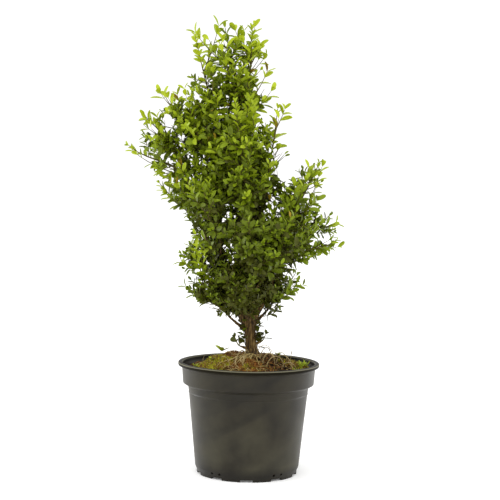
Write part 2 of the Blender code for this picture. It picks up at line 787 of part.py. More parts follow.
def best_twig(plume, foliage, start, way, share, turn, others, rng):
    """The end and leaves of a side twig: of a few turns tried, the one with the most leaves."""
    best, best_leaves = None, []
    for i in range(TWIG_TRIES):
        tried = turn + i * math.tau / TWIG_TRIES
        end = twig_end(plume, start, way, share, tried, rng.uniform(0.8, 1.0))
        probes = [start.lerp(end, step / TWIG_PROBES) for step in range(2, TWIG_PROBES + 1)]
        if not foliage.fits(plume.name, probes, TWIG_RADIUS):
            continue
        leaves = foliage.leaves_on(plume, start, end, rng.uniform(0, math.pi), others)
        if len(leaves) >= TWIG_LEAVES and len(leaves) > len(best_leaves):
            best, best_leaves = end, leaves
    return best, best_leaves


def stem_radii(plume, foot):
    """A stem's radii: tapering from the bough to the tip, and swelling into its core between."""
    radii = []
    for i in range(STEM_POINTS):
        share = i / (STEM_POINTS - 1)
        swell = math.sin(math.pi * min(share * 1.25, 1.0)) ** 1.5
        taper = foot + (TWIG_RADIUS * TWIG_TIP - foot) * share
        radii.append(taper + plume.width * MM * plume.core * swell)
    return radii


def grow_plume(plume, foliage, parts, green):
    """One plume: a stem, side twigs that turn round it, and leaves fused on to them."""
    rng = random.Random(plume.name)
    stem = foliage.stems[plume.name]
    foot = foliage.skeleton.radii[plume.limb][-1]
    body = tube(plume.name, stem, stem_radii(plume, foot), 1 if plume.core else 0, parts)
    helpers = collection(plume.name + "_helpers")
    turn = rng.uniform(0, math.tau)
    leaves = foliage.leaves_on(plume, stem[-2], stem[-1], turn, [])
    for i in range(plume.twigs):
        share = LAST_TWIG + (FIRST_TWIG - LAST_TWIG) * i / (plume.twigs - 1)
        turn += math.radians(GOLDEN_ANGLE)
        start, way = at_share(stem, share)
        end, twig_leaves = best_twig(plume, foliage, start, way, share, turn, leaves, rng)
        if twig_leaves:
            cone("twig", start, end, TWIG_RADIUS, TWIG_RADIUS * TWIG_TIP, 3, helpers)
            leaves += twig_leaves
    for leaf in leaves:
        make_leaf(leaf, helpers)
    boolean(body, "UNION", helpers, "MANIFOLD")
    keep_largest(body)
    body.data.materials.clear()
    body.data.materials.append(green)
    return body


def main():
    """Builds the pot, its compost and moss, the trunk and boughs, and the plumes."""
    clear_scene()
    parts = collection("potted_boxwood")
    plastic = material("pot plastic", (0.055, 0.055, 0.045), 0.45)
    earth = material("compost", (0.10, 0.055, 0.03), 0.95)
    moss = material("moss", (0.16, 0.16, 0.04), 0.95)
    bark = material("bark", (0.16, 0.09, 0.045), 0.85)
    green = material("boxwood leaf", (0.10, 0.20, 0.02), 0.45)
    make_pot(parts, plastic)
    compost = make_compost(parts, earth)
    make_moss(compost, parts, moss)
    skeleton = Skeleton()
    for name in skeleton.lines:
        make_limb(name, skeleton, parts, bark)
    foliage = Foliage(skeleton)
    for plume in PLUMES:
        grow_plume(plume, foliage, parts, green)


main()
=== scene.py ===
"""Potted boxwood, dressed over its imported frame.

The limbs and masses follow the rule of the part's source, carried on to fine twigs and to
leaves of their real size. The pot, the compost and the moss get their fine shapes here too.
"""

import json
import logging
import math
import random
from collections.abc import Callable, Iterator, Sequence
from contextlib import contextmanager
from dataclasses import dataclass, field
from enum import Enum

import bpy
import numpy as np
from mathutils import Matrix, Vector, noise

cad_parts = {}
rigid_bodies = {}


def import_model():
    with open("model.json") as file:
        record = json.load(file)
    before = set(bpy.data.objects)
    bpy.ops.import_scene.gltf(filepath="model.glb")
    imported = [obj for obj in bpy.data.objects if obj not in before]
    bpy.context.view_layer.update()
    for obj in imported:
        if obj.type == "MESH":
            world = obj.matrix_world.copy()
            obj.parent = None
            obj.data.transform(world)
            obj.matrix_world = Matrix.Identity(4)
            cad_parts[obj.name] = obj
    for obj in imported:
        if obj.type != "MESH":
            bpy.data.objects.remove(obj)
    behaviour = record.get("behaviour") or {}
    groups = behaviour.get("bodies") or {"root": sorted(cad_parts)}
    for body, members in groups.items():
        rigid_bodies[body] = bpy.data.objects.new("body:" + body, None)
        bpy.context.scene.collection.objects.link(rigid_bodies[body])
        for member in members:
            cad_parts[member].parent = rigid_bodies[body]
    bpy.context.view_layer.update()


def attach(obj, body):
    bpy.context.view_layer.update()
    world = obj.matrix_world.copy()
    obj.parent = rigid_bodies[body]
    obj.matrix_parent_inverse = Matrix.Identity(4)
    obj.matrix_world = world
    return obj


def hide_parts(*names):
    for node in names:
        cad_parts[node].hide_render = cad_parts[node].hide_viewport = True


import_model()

log = logging.getLogger("potted_boxwood")

MM = 0.001
Point = tuple[float, float, float]
Line = list[Vector]
Limb = tuple[Line, list[float]]
Tree = bpy.types.NodeTree
Socket = bpy.types.NodeSocket
Object = bpy.types.Object

# Shared tools


def linear(code: str) -> tuple[float, ...]:
    """Turns an sRGB hex value such as "#3a3b35" into a linear colour with full alpha."""
    channels = (int(code[i : i + 2], 16) / 255 for i in (1, 3, 5))
    return (*(c / 12.92 if c <= 0.04045 else ((c + 0.055) / 1.055) ** 2.4 for c in channels), 1.0)


def feed(node: bpy.types.Node, inputs: dict | Sequence) -> None:
    """Fills a node's inputs.

    Args:
        node: The node.
        inputs: Values or the sockets to link, by input name or number, or in the inputs' order.
    """
    for key, value in inputs.items() if isinstance(inputs, dict) else enumerate(inputs):
        if isinstance(value, Socket):
            node.id_data.links.new(value, node.inputs[key])
        else:
            node.inputs[key].default_value = value


def add_node(
    tree: Tree, kind: str, inputs: dict | Sequence = (), out: int | str = 0, **settings: object
) -> Socket:
    """Adds a shader node with its settings and links.

    Args:
        tree: The material's node tree.
        kind: Blender's name for the node, without "ShaderNode".
        inputs: What feeds it.
        out: The output to go on with.
        **settings: Its own properties; "stops" are a colour ramp's positions and hex values.

    Returns:
        The output.
    """
    node = tree.nodes.new("ShaderNode" + kind)
    for i, (position, code) in enumerate(settings.pop("stops", ())):
        elements = node.color_ramp.elements
        element = elements[i] if i < len(elements) else elements.new(position)
        element.position = position
        element.color = linear(code)
    for key, value in settings.items():
        setattr(node, key, value)
    feed(node, inputs)
    return node.outputs[out]


def select_only(obj: Object) -> None:
    """Makes one object the only selected and the active one.

    Args:
        obj: The object.
    """
    bpy.ops.object.select_all(action="DESELECT")
    obj.select_set(True)
    bpy.context.view_layer.objects.active = obj


def primitive(add: Callable, **settings: object) -> Object:
    """Adds a primitive with nothing else selected.

    Args:
        add: The operator.
        **settings: Its settings.

    Returns:
        The new object.
    """
    bpy.ops.object.select_all(action="DESELECT")
    add(**settings)
    return bpy.context.object


@contextmanager
def editing(obj: Object, whole: bool = True) -> Iterator[None]:
    """Opens an object in edit mode for the lines of a with block.

    Args:
        obj: The object.
        whole: Whether all of its mesh is selected first.
    """
    select_only(obj)
    bpy.ops.object.mode_set(mode="EDIT")
    if whole:
        bpy.ops.mesh.select_all(action="SELECT")
    yield
    bpy.ops.object.mode_set(mode="OBJECT")


def weld() -> None:
    """Merges what coincides and points all faces outwards, in edit mode."""
    bpy.ops.mesh.remove_doubles(threshold=0.01 * MM)
    bpy.ops.mesh.normals_make_consistent(inside=False)


def apply_modifier(obj: Object, kind: str, **settings: object) -> None:
    """Adds a modifier to an object and applies it.

    Args:
        obj: The object.
        kind: Blender's name for the modifier.
        **settings: The modifier's properties.
    """
    select_only(obj)
    modifier = obj.modifiers.new(kind.title(), kind)
    for key, value in settings.items():
        setattr(modifier, key, value)
    bpy.ops.object.modifier_apply(modifier=modifier.name)


def new_object(data: bpy.types.ID) -> Object:
    """Puts a mesh, curve, light or camera into the scene.

    Args:
        data: The mesh, curve, light or camera.

    Returns:
        Its object, with the same name.
    """
    obj = bpy.data.objects.new(data.name, data)
    bpy.context.scene.collection.objects.link(obj)
    return obj


def drawn_limbs(name: str, limbs: Sequence[Limb], resolution: int) -> Object:
    """Draws tapering round limbs as curves and makes one mesh of them.

    Args:
        name: The new object's name.
        limbs: Each limb's points and its radius at each.
        resolution: How finely each is rounded; 0 gives four sides.

    Returns:
        The mesh object.
    """
    curve = bpy.data.curves.new(name, "CURVE")
    curve.dimensions = "3D"
    curve.bevel_depth = 1.0
    curve.bevel_resolution = resolution
    curve.use_fill_caps = True
    for points, radii in limbs:
        spline = curve.splines.new("POLY")
        spline.points.add(len(points) - 1)
        for target, point, radius in zip(spline.points, points, radii):
            target.co = (*point, 1.0)
            target.radius = radius
    obj = new_object(curve)
    select_only(obj)
    bpy.ops.object.convert(target="MESH")
    with editing(obj):
        weld()
    return obj


def copies(name: str, pattern: Object, places: Sequence[Matrix]) -> Object:
    """Joins many copies of one small shape into a single mesh.

    Args:
        name: The new object's name.
        pattern: The shape that is repeated.
        places: Where each copy goes.

    Returns:
        The joined object.
    """
    corners = np.array([v.co for v in pattern.data.vertices])
    faces = [tuple(p.vertices) for p in pattern.data.polygons]
    indices = [p.material_index for p in pattern.data.polygons]
    frames = np.array([[list(row) for row in place] for place in places])
    points = np.einsum("kij,nj->kni", frames[:, :3, :3], corners) + frames[:, None, :3, 3]
    starts = range(0, len(corners) * len(places), len(corners))
    mesh = bpy.data.meshes.new(name)
    all_faces = [tuple(i + start for i in face) for start in starts for face in faces]
    mesh.from_pydata(points.reshape(-1, 3).tolist(), [], all_faces)
    mesh.polygons.foreach_set("material_index", indices * len(places))
    return new_object(mesh)


def declare(
    obj: Object, angle: float, finishes: Sequence["Finish"], stands_for: Sequence[str] = ()
) -> None:
    """Shades and finishes a piece, hangs it on the root body and hides the solids that it stands for.

    Args:
        obj: The piece.
        angle: The sharpest edge that is shaded smooth, in degrees.
        finishes: Its finishes, in the order of its faces' indices.
        stands_for: The solids that it replaces.
    """
    select_only(obj)
    bpy.ops.object.shade_smooth_by_angle(angle=math.radians(angle))
    obj.data.materials.clear()
    indices = [p.material_index for p in obj.data.polygons]
    for finish in finishes:
        obj.data.materials.append(finish.make())
    obj.data.polygons.foreach_set("material_index", indices)
    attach(obj, "root")
    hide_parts(*stands_for)
    log.info("%s: %d faces", obj.name, len(obj.data.polygons))


# Finishes


@dataclass(frozen=True)
class Finish:
    """What all finishes share: a name, and a shader that the finish's own nodes feed."""

    name: str

    def look(self, tree: Tree, place: Socket) -> dict:
        """Lists what feeds the shader; each finish has its own."""
        raise NotImplementedError

    def make(self) -> bpy.types.Material:
        """Makes the material.

        Returns:
            The material.
        """
        made = bpy.data.materials.new(self.name)
        made.use_nodes = True
        place = add_node(made.node_tree, "TexCoord", out="Object")
        feed(made.node_tree.nodes["Principled BSDF"], self.look(made.node_tree, place))
        return made


@dataclass(frozen=True)
class PotPlastic(Finish):
    """Injection-moulded recycled polypropylene: dark, semi-matte, dusty and scuffed."""

    name: str = "moulded recycled polypropylene"
    face: str = "#1b170e"
    worn: str = "#2a2619"
    dust: str = "#666350"
    scuff_and_shade: str = "#120f08"
    lip_highlight: str = "#6d6a58"
    sheen: float = 0.22
    grain: float = 1.1 * MM
    cloud: float = 55 * MM
    speck_scale: float = 22.0

    def look(self, tree: Tree, place: Socket) -> dict:
        """Lays scuffs, dust, painted shade and a painted lip highlight over the dark face, one over the
        other.

        Args:
            tree: The material's node tree.
            place: The place on the pot.

        Returns:
            What feeds the shader.
        """
        height = add_node(tree, "SeparateXYZ", (place,), "Z")
        clouds = add_node(tree, "TexNoise", {"Vector": place, "Scale": 1 / self.cloud, "Detail": 5.0})
        colour = add_node(tree, "ValToRGB", (clouds,), stops=((0.36, self.face), (0.64, self.worn)))
        # Scuffs run up to the right at about 28 degrees, each some 15 mm wide and 110 mm long.
        turn, size = (0.0, math.radians(-28), 0.0), (260 * MM, 200 * MM, 26 * MM)
        slant = {"Vector": place, "Rotation": turn, "Scale": size}
        slanting = add_node(tree, "Mapping", slant, vector_type="TEXTURE")
        scuffs = add_node(tree, "TexNoise", {"Vector": slanting, "Scale": 1.0, "Detail": 1.0})
        # Dust settles as fine specks and thin veils, thickest near the foot.
        specks = add_node(tree, "TexNoise", {"Vector": place, "Scale": self.speck_scale, "Detail": 3.0})
        low = add_node(tree, "MapRange", (height, 0.03, 0.145, 0.22, 0.06))
        veil = add_node(tree, "MapRange", (specks, 0.3, 0.75))
        # The lip is darkened as painted shade, with a thin pale painted highlight along its upper edge.
        on_lip = add_node(tree, "MapRange", (height, 0.170, 0.180))
        lip = ((0.35, "#000000"), (0.45, "#e0e0e0"))
        line = ((0.82, "#000000"), (0.86, "#ffffff"), (0.95, "#ffffff"), (0.98, "#000000"))
        layers = (
            (add_node(tree, "MapRange", (scuffs, 0.5, 0.62, 0.0, 0.55)), self.scuff_and_shade),
            (add_node(tree, "Math", (veil, low), operation="MULTIPLY"), self.dust),
            # The foot under the wall is darkened as painted shade.
            (add_node(tree, "MapRange", (height, 0.010, 0.022, 0.75, 0.0)), self.scuff_and_shade),
            # Painted shade on the lip, then a painted highlight along its upper edge.
            (add_node(tree, "ValToRGB", (on_lip,), stops=lip), self.scuff_and_shade),
            (add_node(tree, "ValToRGB", (on_lip,), stops=line), self.lip_highlight),
        )
        for mask, code in layers:
            colour = add_node(tree, "Mix", {0: mask, 6: colour, 7: linear(code)}, 2, data_type="RGBA")
        fine = add_node(tree, "TexNoise", {"Vector": place, "Scale": 1 / self.grain, "Detail": 2.0})
        # The lip's flat top is rubbed dull.
        return {
            "Base Color": colour,
            "Specular IOR Level": add_node(tree, "MapRange", (height, 0.171, 0.175, self.sheen, 0.03)),
            "Roughness": add_node(tree, "MapRange", (clouds, 0.3, 0.7, 0.34, 0.5)),
            "Normal": add_node(tree, "Bump", {"Strength": 0.12, "Distance": 0.4 * MM, "Height": fine}),
        }


@dataclass(frozen=True)
class Earthy(Finish):
    """A matte natural stuff in mottled colours, whose single grains and fibres show."""

    colours: tuple[str, str, str]
    mottle: float
    relief: float = 0.8 * MM
    roughness: float = 0.92
    gloss: float = 0.2
    fray: float = 0.65
    stretch: float = 1.0
    strength: float = 0.7
    stops: Point = (0.34, 0.51, 0.68)

    def look(self, tree: Tree, place: Socket) -> dict:
        """Mottles the colour and raises the surface by one pattern.

        Args:
            tree: The material's node tree.
            place: The place on the object.

        Returns:
            What feeds the shader.
        """
        drawn = add_node(tree, "Mapping", {"Vector": place, "Scale": (1.0, 1.0, self.stretch)})
        grain = {"Vector": drawn, "Scale": 1 / self.mottle, "Detail": 6.0, "Roughness": self.fray}
        spots = add_node(tree, "TexNoise", grain)
        bump = {"Strength": self.strength, "Distance": self.relief, "Height": spots}
        return {
            "Base Color": add_node(tree, "ValToRGB", (spots,), stops=zip(self.stops, self.colours)),
            "Roughness": self.roughness,
            "Specular IOR Level": self.gloss,
            "Normal": add_node(tree, "Bump", bump),
        }


@dataclass(frozen=True)
class Bark(Earthy):
    """Boxwood bark: brown and fibrous, split into pale upright strips 3 mm wide and 25 mm long."""

    name: str = "fibrous boxwood bark"
    colours: tuple[str, str, str] = ("#281c0a", "#503c1b", "#a08550")
    mottle: float = 3.2 * MM
    relief: float = 0.9 * MM
    roughness: float = 0.85
    gloss: float = 0.25
    fray: float = 0.6
    stretch: float = 0.13
    strength: float = 0.8
    stops: Point = (0.38, 0.53, 0.72)


@dataclass(frozen=True)
class LeafSkin(Finish):
    """A leaf's leathery skin in one plain colour: waxy above, duller beneath, finely veined."""

    colour: str
    roughness: float = 0.46
    vein_scale: float = 700.0

    def look(self, tree: Tree, place: Socket) -> dict:
        """Raises the veins under the wax.

        Args:
            tree: The material's node tree.
            place: The place on the leaf.

        Returns:
            What feeds the shader.
        """
        veins = add_node(tree, "TexNoise", {"Vector": place, "Scale": self.vein_scale, "Detail": 2.0})
        wax = (veins, 0.0, 1.0, self.roughness - 0.08, self.roughness + 0.12)
        return {
            "Base Color": linear(self.colour),
            "Specular IOR Level": 0.18,
            "Roughness": add_node(tree, "MapRange", wax),
            "Normal": add_node(tree, "Bump", {"Strength": 0.15, "Distance": 0.2 * MM, "Height": veins}),
        }


@dataclass(frozen=True)
class LitFloor(Finish):
    """Pale acrylic that glows a little, which takes the shadow off the floor."""

    name: str = "pale lit acrylic floor"

    def look(self, tree: Tree, place: Socket) -> dict:
        """Sets the colour and the glow; the floor has no pattern."""
        glow = {"Emission Color": (1, 1, 1, 1), "Emission Strength": 0.12}
        return {"Base Color": linear("#fbfbfa"), "Roughness": 0.9, **glow}


class Tone(Enum):
    """Leaf colours, above and beneath: painted shade inside the crown up to painted light at its tips."""

    # The lighter colours beneath are painted light shining through; FLUSHED is the leaves' own bronze.
    SHADE = ("#474b12", "#5a6022")
    DEEP = ("#5d6b12", "#728026")
    MID = ("#768811", "#8c9a30")
    FRESH = ("#93a41b", "#9fad3a")
    TIP = ("#a7b623", "#b0bb48")
    FLUSHED = ("#8f7a1c", "#8c7830")


# The plant's plan, as in the part's source


@dataclass(frozen=True)
class Bough:
    """A bough: its parent, where along it the bough leaves, its tip and its radii, in mm."""

    name: str
    parent: str
    share: float
    tip: Point
    radius: float
    tip_radius: float


@dataclass(frozen=True)
class Plume:
    """A mass of leafy shoots on a limb's tip: its furthest tip, its spread and its twigs."""

    name: str
    limb: str
    tip: Point
    width: float
    twigs: int
    leaf: float = 1.0


GROUND = 190 * MM
GROUND_EDGE = 167 * MM
PLATEAU = 24 * MM
BUMP = 1.8 * MM
COMPOST_EDGE = 104.4 * MM
TRUNK_LINE = (
    (7, 0, 190.3), (7, 0, 196), (5, 1, 214), (4, 2, 240), (8, 3, 285),
    (16, 2, 350), (18, 0, 415), (10, -2, 480), (0, 0, 540), (-8, 2, 580),
)
LEAN = -0.02
LEAN_FOOT = 80
TRUNK_POINTS = 12
TRUNK_RADIUS = 9.5 * MM
TRUNK_TIP_RADIUS = 2.4 * MM
FLARE = 5.0 * MM
FLARE_HEIGHT = 16 * MM
LOBE_DEPTH = 0.2
FORK_HEIGHT = 240 * MM
ABOVE_FORK = 0.62
LIMB_POINTS = 4
STUB_CLEARANCE = 1.5 * MM
LEAST_FORK_ANGLE = 36.0
VIEW_DISTANCE = 2.01
VIEW_HEIGHT = 0.4545
GOLDEN_ANGLE = 137.5
CROWN_DEPTH = 0.95
BOUGHS = (
    Bough("bough_left", "trunk", 0.125, (-92, -4, 468), 5.4, 2.6),
    Bough("bough_right", "trunk", 0.160, (52, -4, 338), 4.6, 2.6),
    Bough("bough_front", "trunk", 0.190, (8, -32, 308), 4.2, 2.4),
    Bough("bough_back", "trunk", 0.220, (10, 36, 318), 4.4, 2.4),
    Bough("bough_skirt_left", "trunk", 0.085, (-34, -14, 260), 2.7, 1.8),
    Bough("bough_low_left", "bough_left", 0.20, (-56, 8, 326), 2.7, 1.8),
    Bough("bough_front_left", "bough_left", 0.36, (-42, -34, 366), 2.7, 1.8),
    Bough("bough_back_left", "bough_left", 0.43, (-46, 34, 372), 2.7, 1.8),
    Bough("bough_mid_left", "bough_left", 0.57, (-78, 12, 402), 2.6, 1.8),
    Bough("bough_upper_left", "bough_left", 0.64, (-64, 4, 500), 2.8, 1.9),
    Bough("bough_left_crest", "bough_left", 0.80, (-98, 10, 506), 2.4, 1.8),
    Bough("bough_skirt_right", "trunk", 0.110, (36, 8, 270), 2.6, 1.8),
    Bough("bough_mid_right", "bough_right", 0.62, (66, 14, 362), 2.5, 1.8),
    Bough("bough_right_crest", "bough_right", 0.76, (60, 2, 388), 2.7, 1.9),
    Bough("bough_front_low", "trunk", 0.125, (-6, -34, 270), 2.4, 1.8),
    Bough("bough_front_right", "bough_front", 0.50, (32, -36, 334), 2.5, 1.8),
    Bough("bough_back_low", "trunk", 0.150, (-8, 36, 276), 2.4, 1.8),
    Bough("bough_back_right", "bough_back", 0.50, (40, 38, 340), 2.5, 1.8),
    Bough("bough_inner", "trunk", 0.43, (-18, -4, 426), 2.7, 1.9),
    Bough("bough_front_upper", "trunk", 0.48, (6, -24, 420), 3.0, 2.0),
    Bough("bough_back_upper", "trunk", 0.52, (9, 24, 430), 3.0, 2.0),
    Bough("bough_upper_right", "trunk", 0.58, (30, 0, 458), 2.7, 1.9),
    Bough("bough_top_left", "trunk", 0.70, (-36, -4, 540), 2.5, 1.8),
    Bough("bough_top_right", "trunk", 0.82, (6, 5, 574), 2.4, 1.8),
    Bough("shoot_left", "trunk", 0.022, (-13, -8, 207), 1.7, 1.3),
    Bough("shoot_right", "trunk", 0.040, (22, -5, 214), 1.7, 1.3),
)
PLUMES = (
    Plume("plume_top", "trunk", (-38, 2, 732), 42, 6),
    Plume("plume_top_left", "bough_top_left", (-86, -8, 716), 44, 7),
    Plume("plume_top_right", "bough_top_right", (8, 4, 731), 40, 7),
    Plume("plume_upper_right", "bough_upper_right", (50, -4, 604), 48, 6),
    Plume("plume_inner", "bough_inner", (-52, -6, 582), 50, 7, 0.82),
    Plume("plume_front_upper", "bough_front_upper", (-20, -78, 606), 50, 5),
    Plume("plume_back_upper", "bough_back_upper", (-14, 80, 612), 52, 5),
    Plume("plume_upper_left", "bough_upper_left", (-140, 4, 622), 52, 7),
    Plume("plume_left_crest", "bough_left_crest", (-174, 8, 588), 44, 6),
    Plume("plume_left", "bough_left", (-200, -10, 536), 44, 6, 0.82),
    Plume("plume_mid_left", "bough_mid_left", (-150, 8, 478), 48, 6, 0.82),
    Plume("plume_back_left", "bough_back_left", (-108, 72, 486), 52, 6),
    Plume("plume_front_left", "bough_front_left", (-98, -80, 482), 50, 6),
    Plume("plume_low_left", "bough_low_left", (-116, 4, 362), 48, 6, 0.82),
    Plume("plume_skirt_left", "bough_skirt_left", (-98, -8, 322), 48, 6, 0.82),
    Plume("plume_right_crest", "bough_right_crest", (120, 4, 517), 50, 6),
    Plume("plume_mid_right", "bough_mid_right", (140, 12, 430), 46, 5, 0.82),
    Plume("plume_right", "bough_right", (152, -10, 388), 48, 7, 0.82),
    Plume("plume_skirt_right", "bough_skirt_right", (84, 10, 336), 48, 6, 0.82),
    Plume("plume_front_right", "bough_front_right", (80, -80, 438), 50, 6),
    Plume("plume_back_right", "bough_back_right", (82, 82, 446), 50, 6),
    Plume("plume_front", "bough_front", (2, -110, 432), 50, 6),
    Plume("plume_front_low", "bough_front_low", (-24, -74, 332), 50, 6, 0.82),
    Plume("plume_back", "bough_back", (-12, 112, 448), 52, 6),
    Plume("plume_back_low", "bough_back_low", (-32, 74, 336), 50, 6, 0.82),
    Plume("sprig_left", "shoot_left", (-24, -12, 233), 16, 2, 0.42),
    Plume("sprig_right", "shoot_right", (34, -9, 238), 16, 2, 0.40),
)

# The crown's outline from the front: at each height, how far it reaches left and right, in mm.
CROWN_OUTLINE = (
    (198, -26, 36), (244, -36, 42), (256, -56, 52), (276, -80, 62), (302, -112, 80),
    (330, -112, 98), (350, -124, 106), (372, -107, 158), (418, -112, 147), (468, -158, 122),
    (500, -152, 126), (518, -192, 124), (532, -201, 48), (560, -184, 48), (588, -178, 58),
    (604, -138, 60), (625, -150, 46), (645, -90, 32), (664, -80, 42), (700, -84, 26),
    (722, -92, 22), (741, -42, 17),
)

# The tips of the single shoots that stand out of the crown, in mm.
SHOOTS = (
    # Top of the crown, and its right side below.
    (-90, 3, 721), (-68, -13, 709), (-61, 16, 696), (-43, -6, 733), (-41, -22, 707),
    (-24, 13, 728), (-9, -13, 706), (15, 6, 735), (7, -19, 702), (23, 13, 703),
    (36, 14, 663), (44, -13, 629), (64, 6, 603), (52, -19, 587), (48, 16, 567),
    (51, -16, 536), (46, 10, 507), (-20, -32, 669), (-2, -24, 650), (-54, -29, 656),
    # Left side.
    (-85, 10, 632), (-67, -34, 618), (-99, -24, 618), (-116, 19, 624), (-144, -22, 622),
    (-131, -29, 614), (-152, 24, 586), (-133, -24, 587), (-174, 5, 578), (-161, -29, 563),
    (-176, 10, 548), (-193, -14, 526), (-152, 10, 490), (-134, -34, 492), (-144, 14, 465),
    (-118, -48, 476), (-98, 5, 376), (-89, -38, 367), (-118, 10, 347), (-108, -10, 310),
    (-86, 19, 298), (-75, -24, 274), (-49, -34, 262),
    # Right side.
    (124, 4, 512), (100, -22, 508), (94, -44, 487), (77, -30, 478), (114, 9, 476),
    (118, -26, 454), (124, -44, 422), (151, -13, 414), (142, -31, 385), (157, 9, 376),
    (134, 18, 368), (85, -22, 322), (100, 18, 313), (77, -20, 305), (45, -30, 463),
    (58, -24, 483), (64, -44, 445), (39, -56, 435),
    # Front.
    (2, -60, 447), (-4, -100, 410), (-14, -112, 388), (16, -118, 380), (35, -100, 367),
    (13, -84, 330), (-54, -72, 336), (-40, -60, 471), (-70, -50, 571), (-20, -56, 600),
    (-30, -66, 555), (-1, -66, 522), (-63, -62, 505), (-50, -84, 424), (51, -84, 421),
    (70, -76, 395), (4, -40, 614), (23, -60, 478), (-83, -54, 379), (1, -130, 420),
    # Back.
    (-3, 128, 432), (-27, 116, 404), (24, 114, 398), (-57, 92, 458), (62, 96, 434),
    (-16, 84, 577), (-37, 88, 530), (7, 90, 510), (-72, 76, 374), (55, 82, 359),
    (-13, 90, 337),
    # Inside.
    (-50, -30, 385), (-44, -20, 343), (-61, 10, 360), (-31, -60, 374), (-41, -20, 398),
    (-18, -40, 344), (-6, -40, 300), (-75, -40, 496), (-92, -30, 508), (-65, -50, 474),
    (-81, 20, 464), (36, -30, 466), (45, -40, 444), (-67, -50, 344), (-56, -40, 363),
    (-89, -20, 319), (-40, -60, 355), (-34, -50, 300), (33, -44, 298), (-71, -40, 508),
    (-61, -34, 487),
)

# Gaps of the crown's rim where the sky shows from the front: middle, half width and half height.
GAPS = (
    (-127, 564, 13, 15), (59, 490, 17, 14), (21, 621, 14, 10), (52, 517, 12, 13),
    (-60, 268, 12, 9), (-65, 633, 10, 10), (-132, 599, 12, 11), (14, 663, 11, 11),
    (-163, 506, 16, 8), (-154, 553, 11, 7), (105, 463, 9, 8), (-56, 707, 10, 11),
    (-80, 608, 8, 8), (52, 575, 9, 8), (-107, 542, 8, 8), (-78, 652, 7, 11), (22, 640, 9, 7),
    (48, 561, 11, 6), (127, 380, 7, 8), (-2, 702, 5, 9), (75, 320, 6, 7), (-131, 488, 8, 8),
)

# Moss cushions: middle, half length, half width and height, in mm.
MOSS = {
    "moss_left": (-54, -34, 36, 25, 9),
    "moss_front": (16, -66, 34, 20, 7),
    "moss_right": (72, -10, 24, 28, 7),
}

# The share of a cushion's height that its body takes up. Its shoots stand on that.
CUSHION_BODY = 0.72

# Sprouts on the trunk: the turn about it in degrees, and the height in mm.
SPROUTS = (
    (175, 202), (205, 214), (160, 224), (190, 232), (215, 236), (5, 206), (340, 216), (20, 226),
    (350, 234), (90, 220), (60, 232), (120, 232),
)


def clamp(value: float) -> float:
    """Keeps a value between 0 and 1."""
    return min(max(value, 0.0), 1.0)


def leaning(point: Sequence[float]) -> Vector:
    """Turns a point of the tables into metres, moved sideways by the plant's lean."""
    x, y, z = point
    return Vector((x + LEAN * (z - LEAN_FOOT), y, z)) * MM


def raised(way: Vector, rise: float) -> Vector:
    """Turns a direction upwards by adding a rise to it."""
    return (way + Vector((0, 0, rise))).normalized()


def bezier(start: Vector, start_way: Vector, end: Vector, end_way: Vector, count: int) -> Line:
    """Draws a smooth curve.

    Args:
        start: Where it starts.
        start_way: The direction in which it leaves.
        end: Where it ends.
        end_way: The direction in which it arrives.
        count: How many points it gets.

    Returns:
        The points.
    """
    reach = (end - start).length / 3
    first, second = start + start_way * reach, end - end_way * reach
    points = []
    for i in range(count):
        t = i / (count - 1)
        s = 1 - t
        points.append(start * s**3 + first * 3 * s * s * t + second * 3 * s * t * t + end * t**3)
    return points


def smooth_line(points: Line, count: int) -> Line:
    """Draws evenly spaced points on a smooth curve through a few.

    Args:
        points: The points to pass through.
        count: How many points to return.

    Returns:
        The points.
    """
    ends = [points[0] * 2 - points[1], *points, points[-1] * 2 - points[-2]]
    fine = []
    for a, b, c, d in zip(ends, ends[1:], ends[2:], ends[3:]):
        for step in range(8):
            t = step / 8
            middle = (c - a) * t + (a * 2 - b * 5 + c * 4 - d) * t * t
            fine.append(b + (middle + (b * 3 - c * 3 + d - a) * t**3) * 0.5)
    fine.append(points[-1].copy())
    return [at_share(fine, i / (count - 1))[0] for i in range(count)]


def length_of(line: Line) -> float:
    """Adds up a line's length."""
    return sum((b - a).length for a, b in zip(line, line[1:]))


def at_share(line: Line, share: float) -> tuple[Vector, Vector]:
    """Finds a point on a line.

    Args:
        line: The line's points.
        share: How far along it, from 0 to 1.

    Returns:
        The point and the line's direction there.
    """
    left = share * length_of(line)
    for a, b in zip(line, line[1:]):
        length = (b - a).length
        if left <= length:
            return a.lerp(b, left / length), (b - a).normalized()
        left -= length
    return line[-1].copy(), (line[-1] - line[-2]).normalized()


def from_line(line: Line, point: Vector) -> tuple[float, float]:
    """Measures how far a point is from a line.

    Args:
        line: The line's points.
        point: The point.

    Returns:
        The distance, and the share of the line's points where it is nearest.
    """
    best, where = math.inf, 0.0
    for i, (a, b) in enumerate(zip(line, line[1:])):
        along = b - a
        t = clamp((point - a).dot(along) / along.length_squared)
        away = (point - a - along * t).length
        if away < best:
            best, where = away, (i + t) / (len(line) - 1)
    return best, where


def square_to(way: Vector, turn: float) -> Vector:
    """Finds a direction square to a way.

    Args:
        way: The way.
        turn: How far the direction is turned about it, in radians.

    Returns:
        The direction.
    """
    spare = Vector((0, 0, 1)) if abs(way.z) < 0.9 else Vector((1, 0, 0))
    first = way.cross(spare).normalized()
    first.rotate(Matrix.Rotation(turn, 3, way))
    return first


def crown_sides(height: float) -> tuple[float, float]:
    """Finds how far the crown reaches left and right at a height, in metres.

    Args:
        height: The height in metres.

    Returns:
        The left and right reach; 0 and 0 above and below the crown.
    """
    moved = LEAN * (height - LEAN_FOOT * MM)
    for low, high in zip(CROWN_OUTLINE, CROWN_OUTLINE[1:]):
        if low[0] * MM <= height <= high[0] * MM:
            share = (height - low[0] * MM) / (high[0] * MM - low[0] * MM)
            left, right = (a * MM + (b * MM - a * MM) * share for a, b in zip(low[1:], high[1:]))
            return left + moved, right + moved
    return 0.0, 0.0


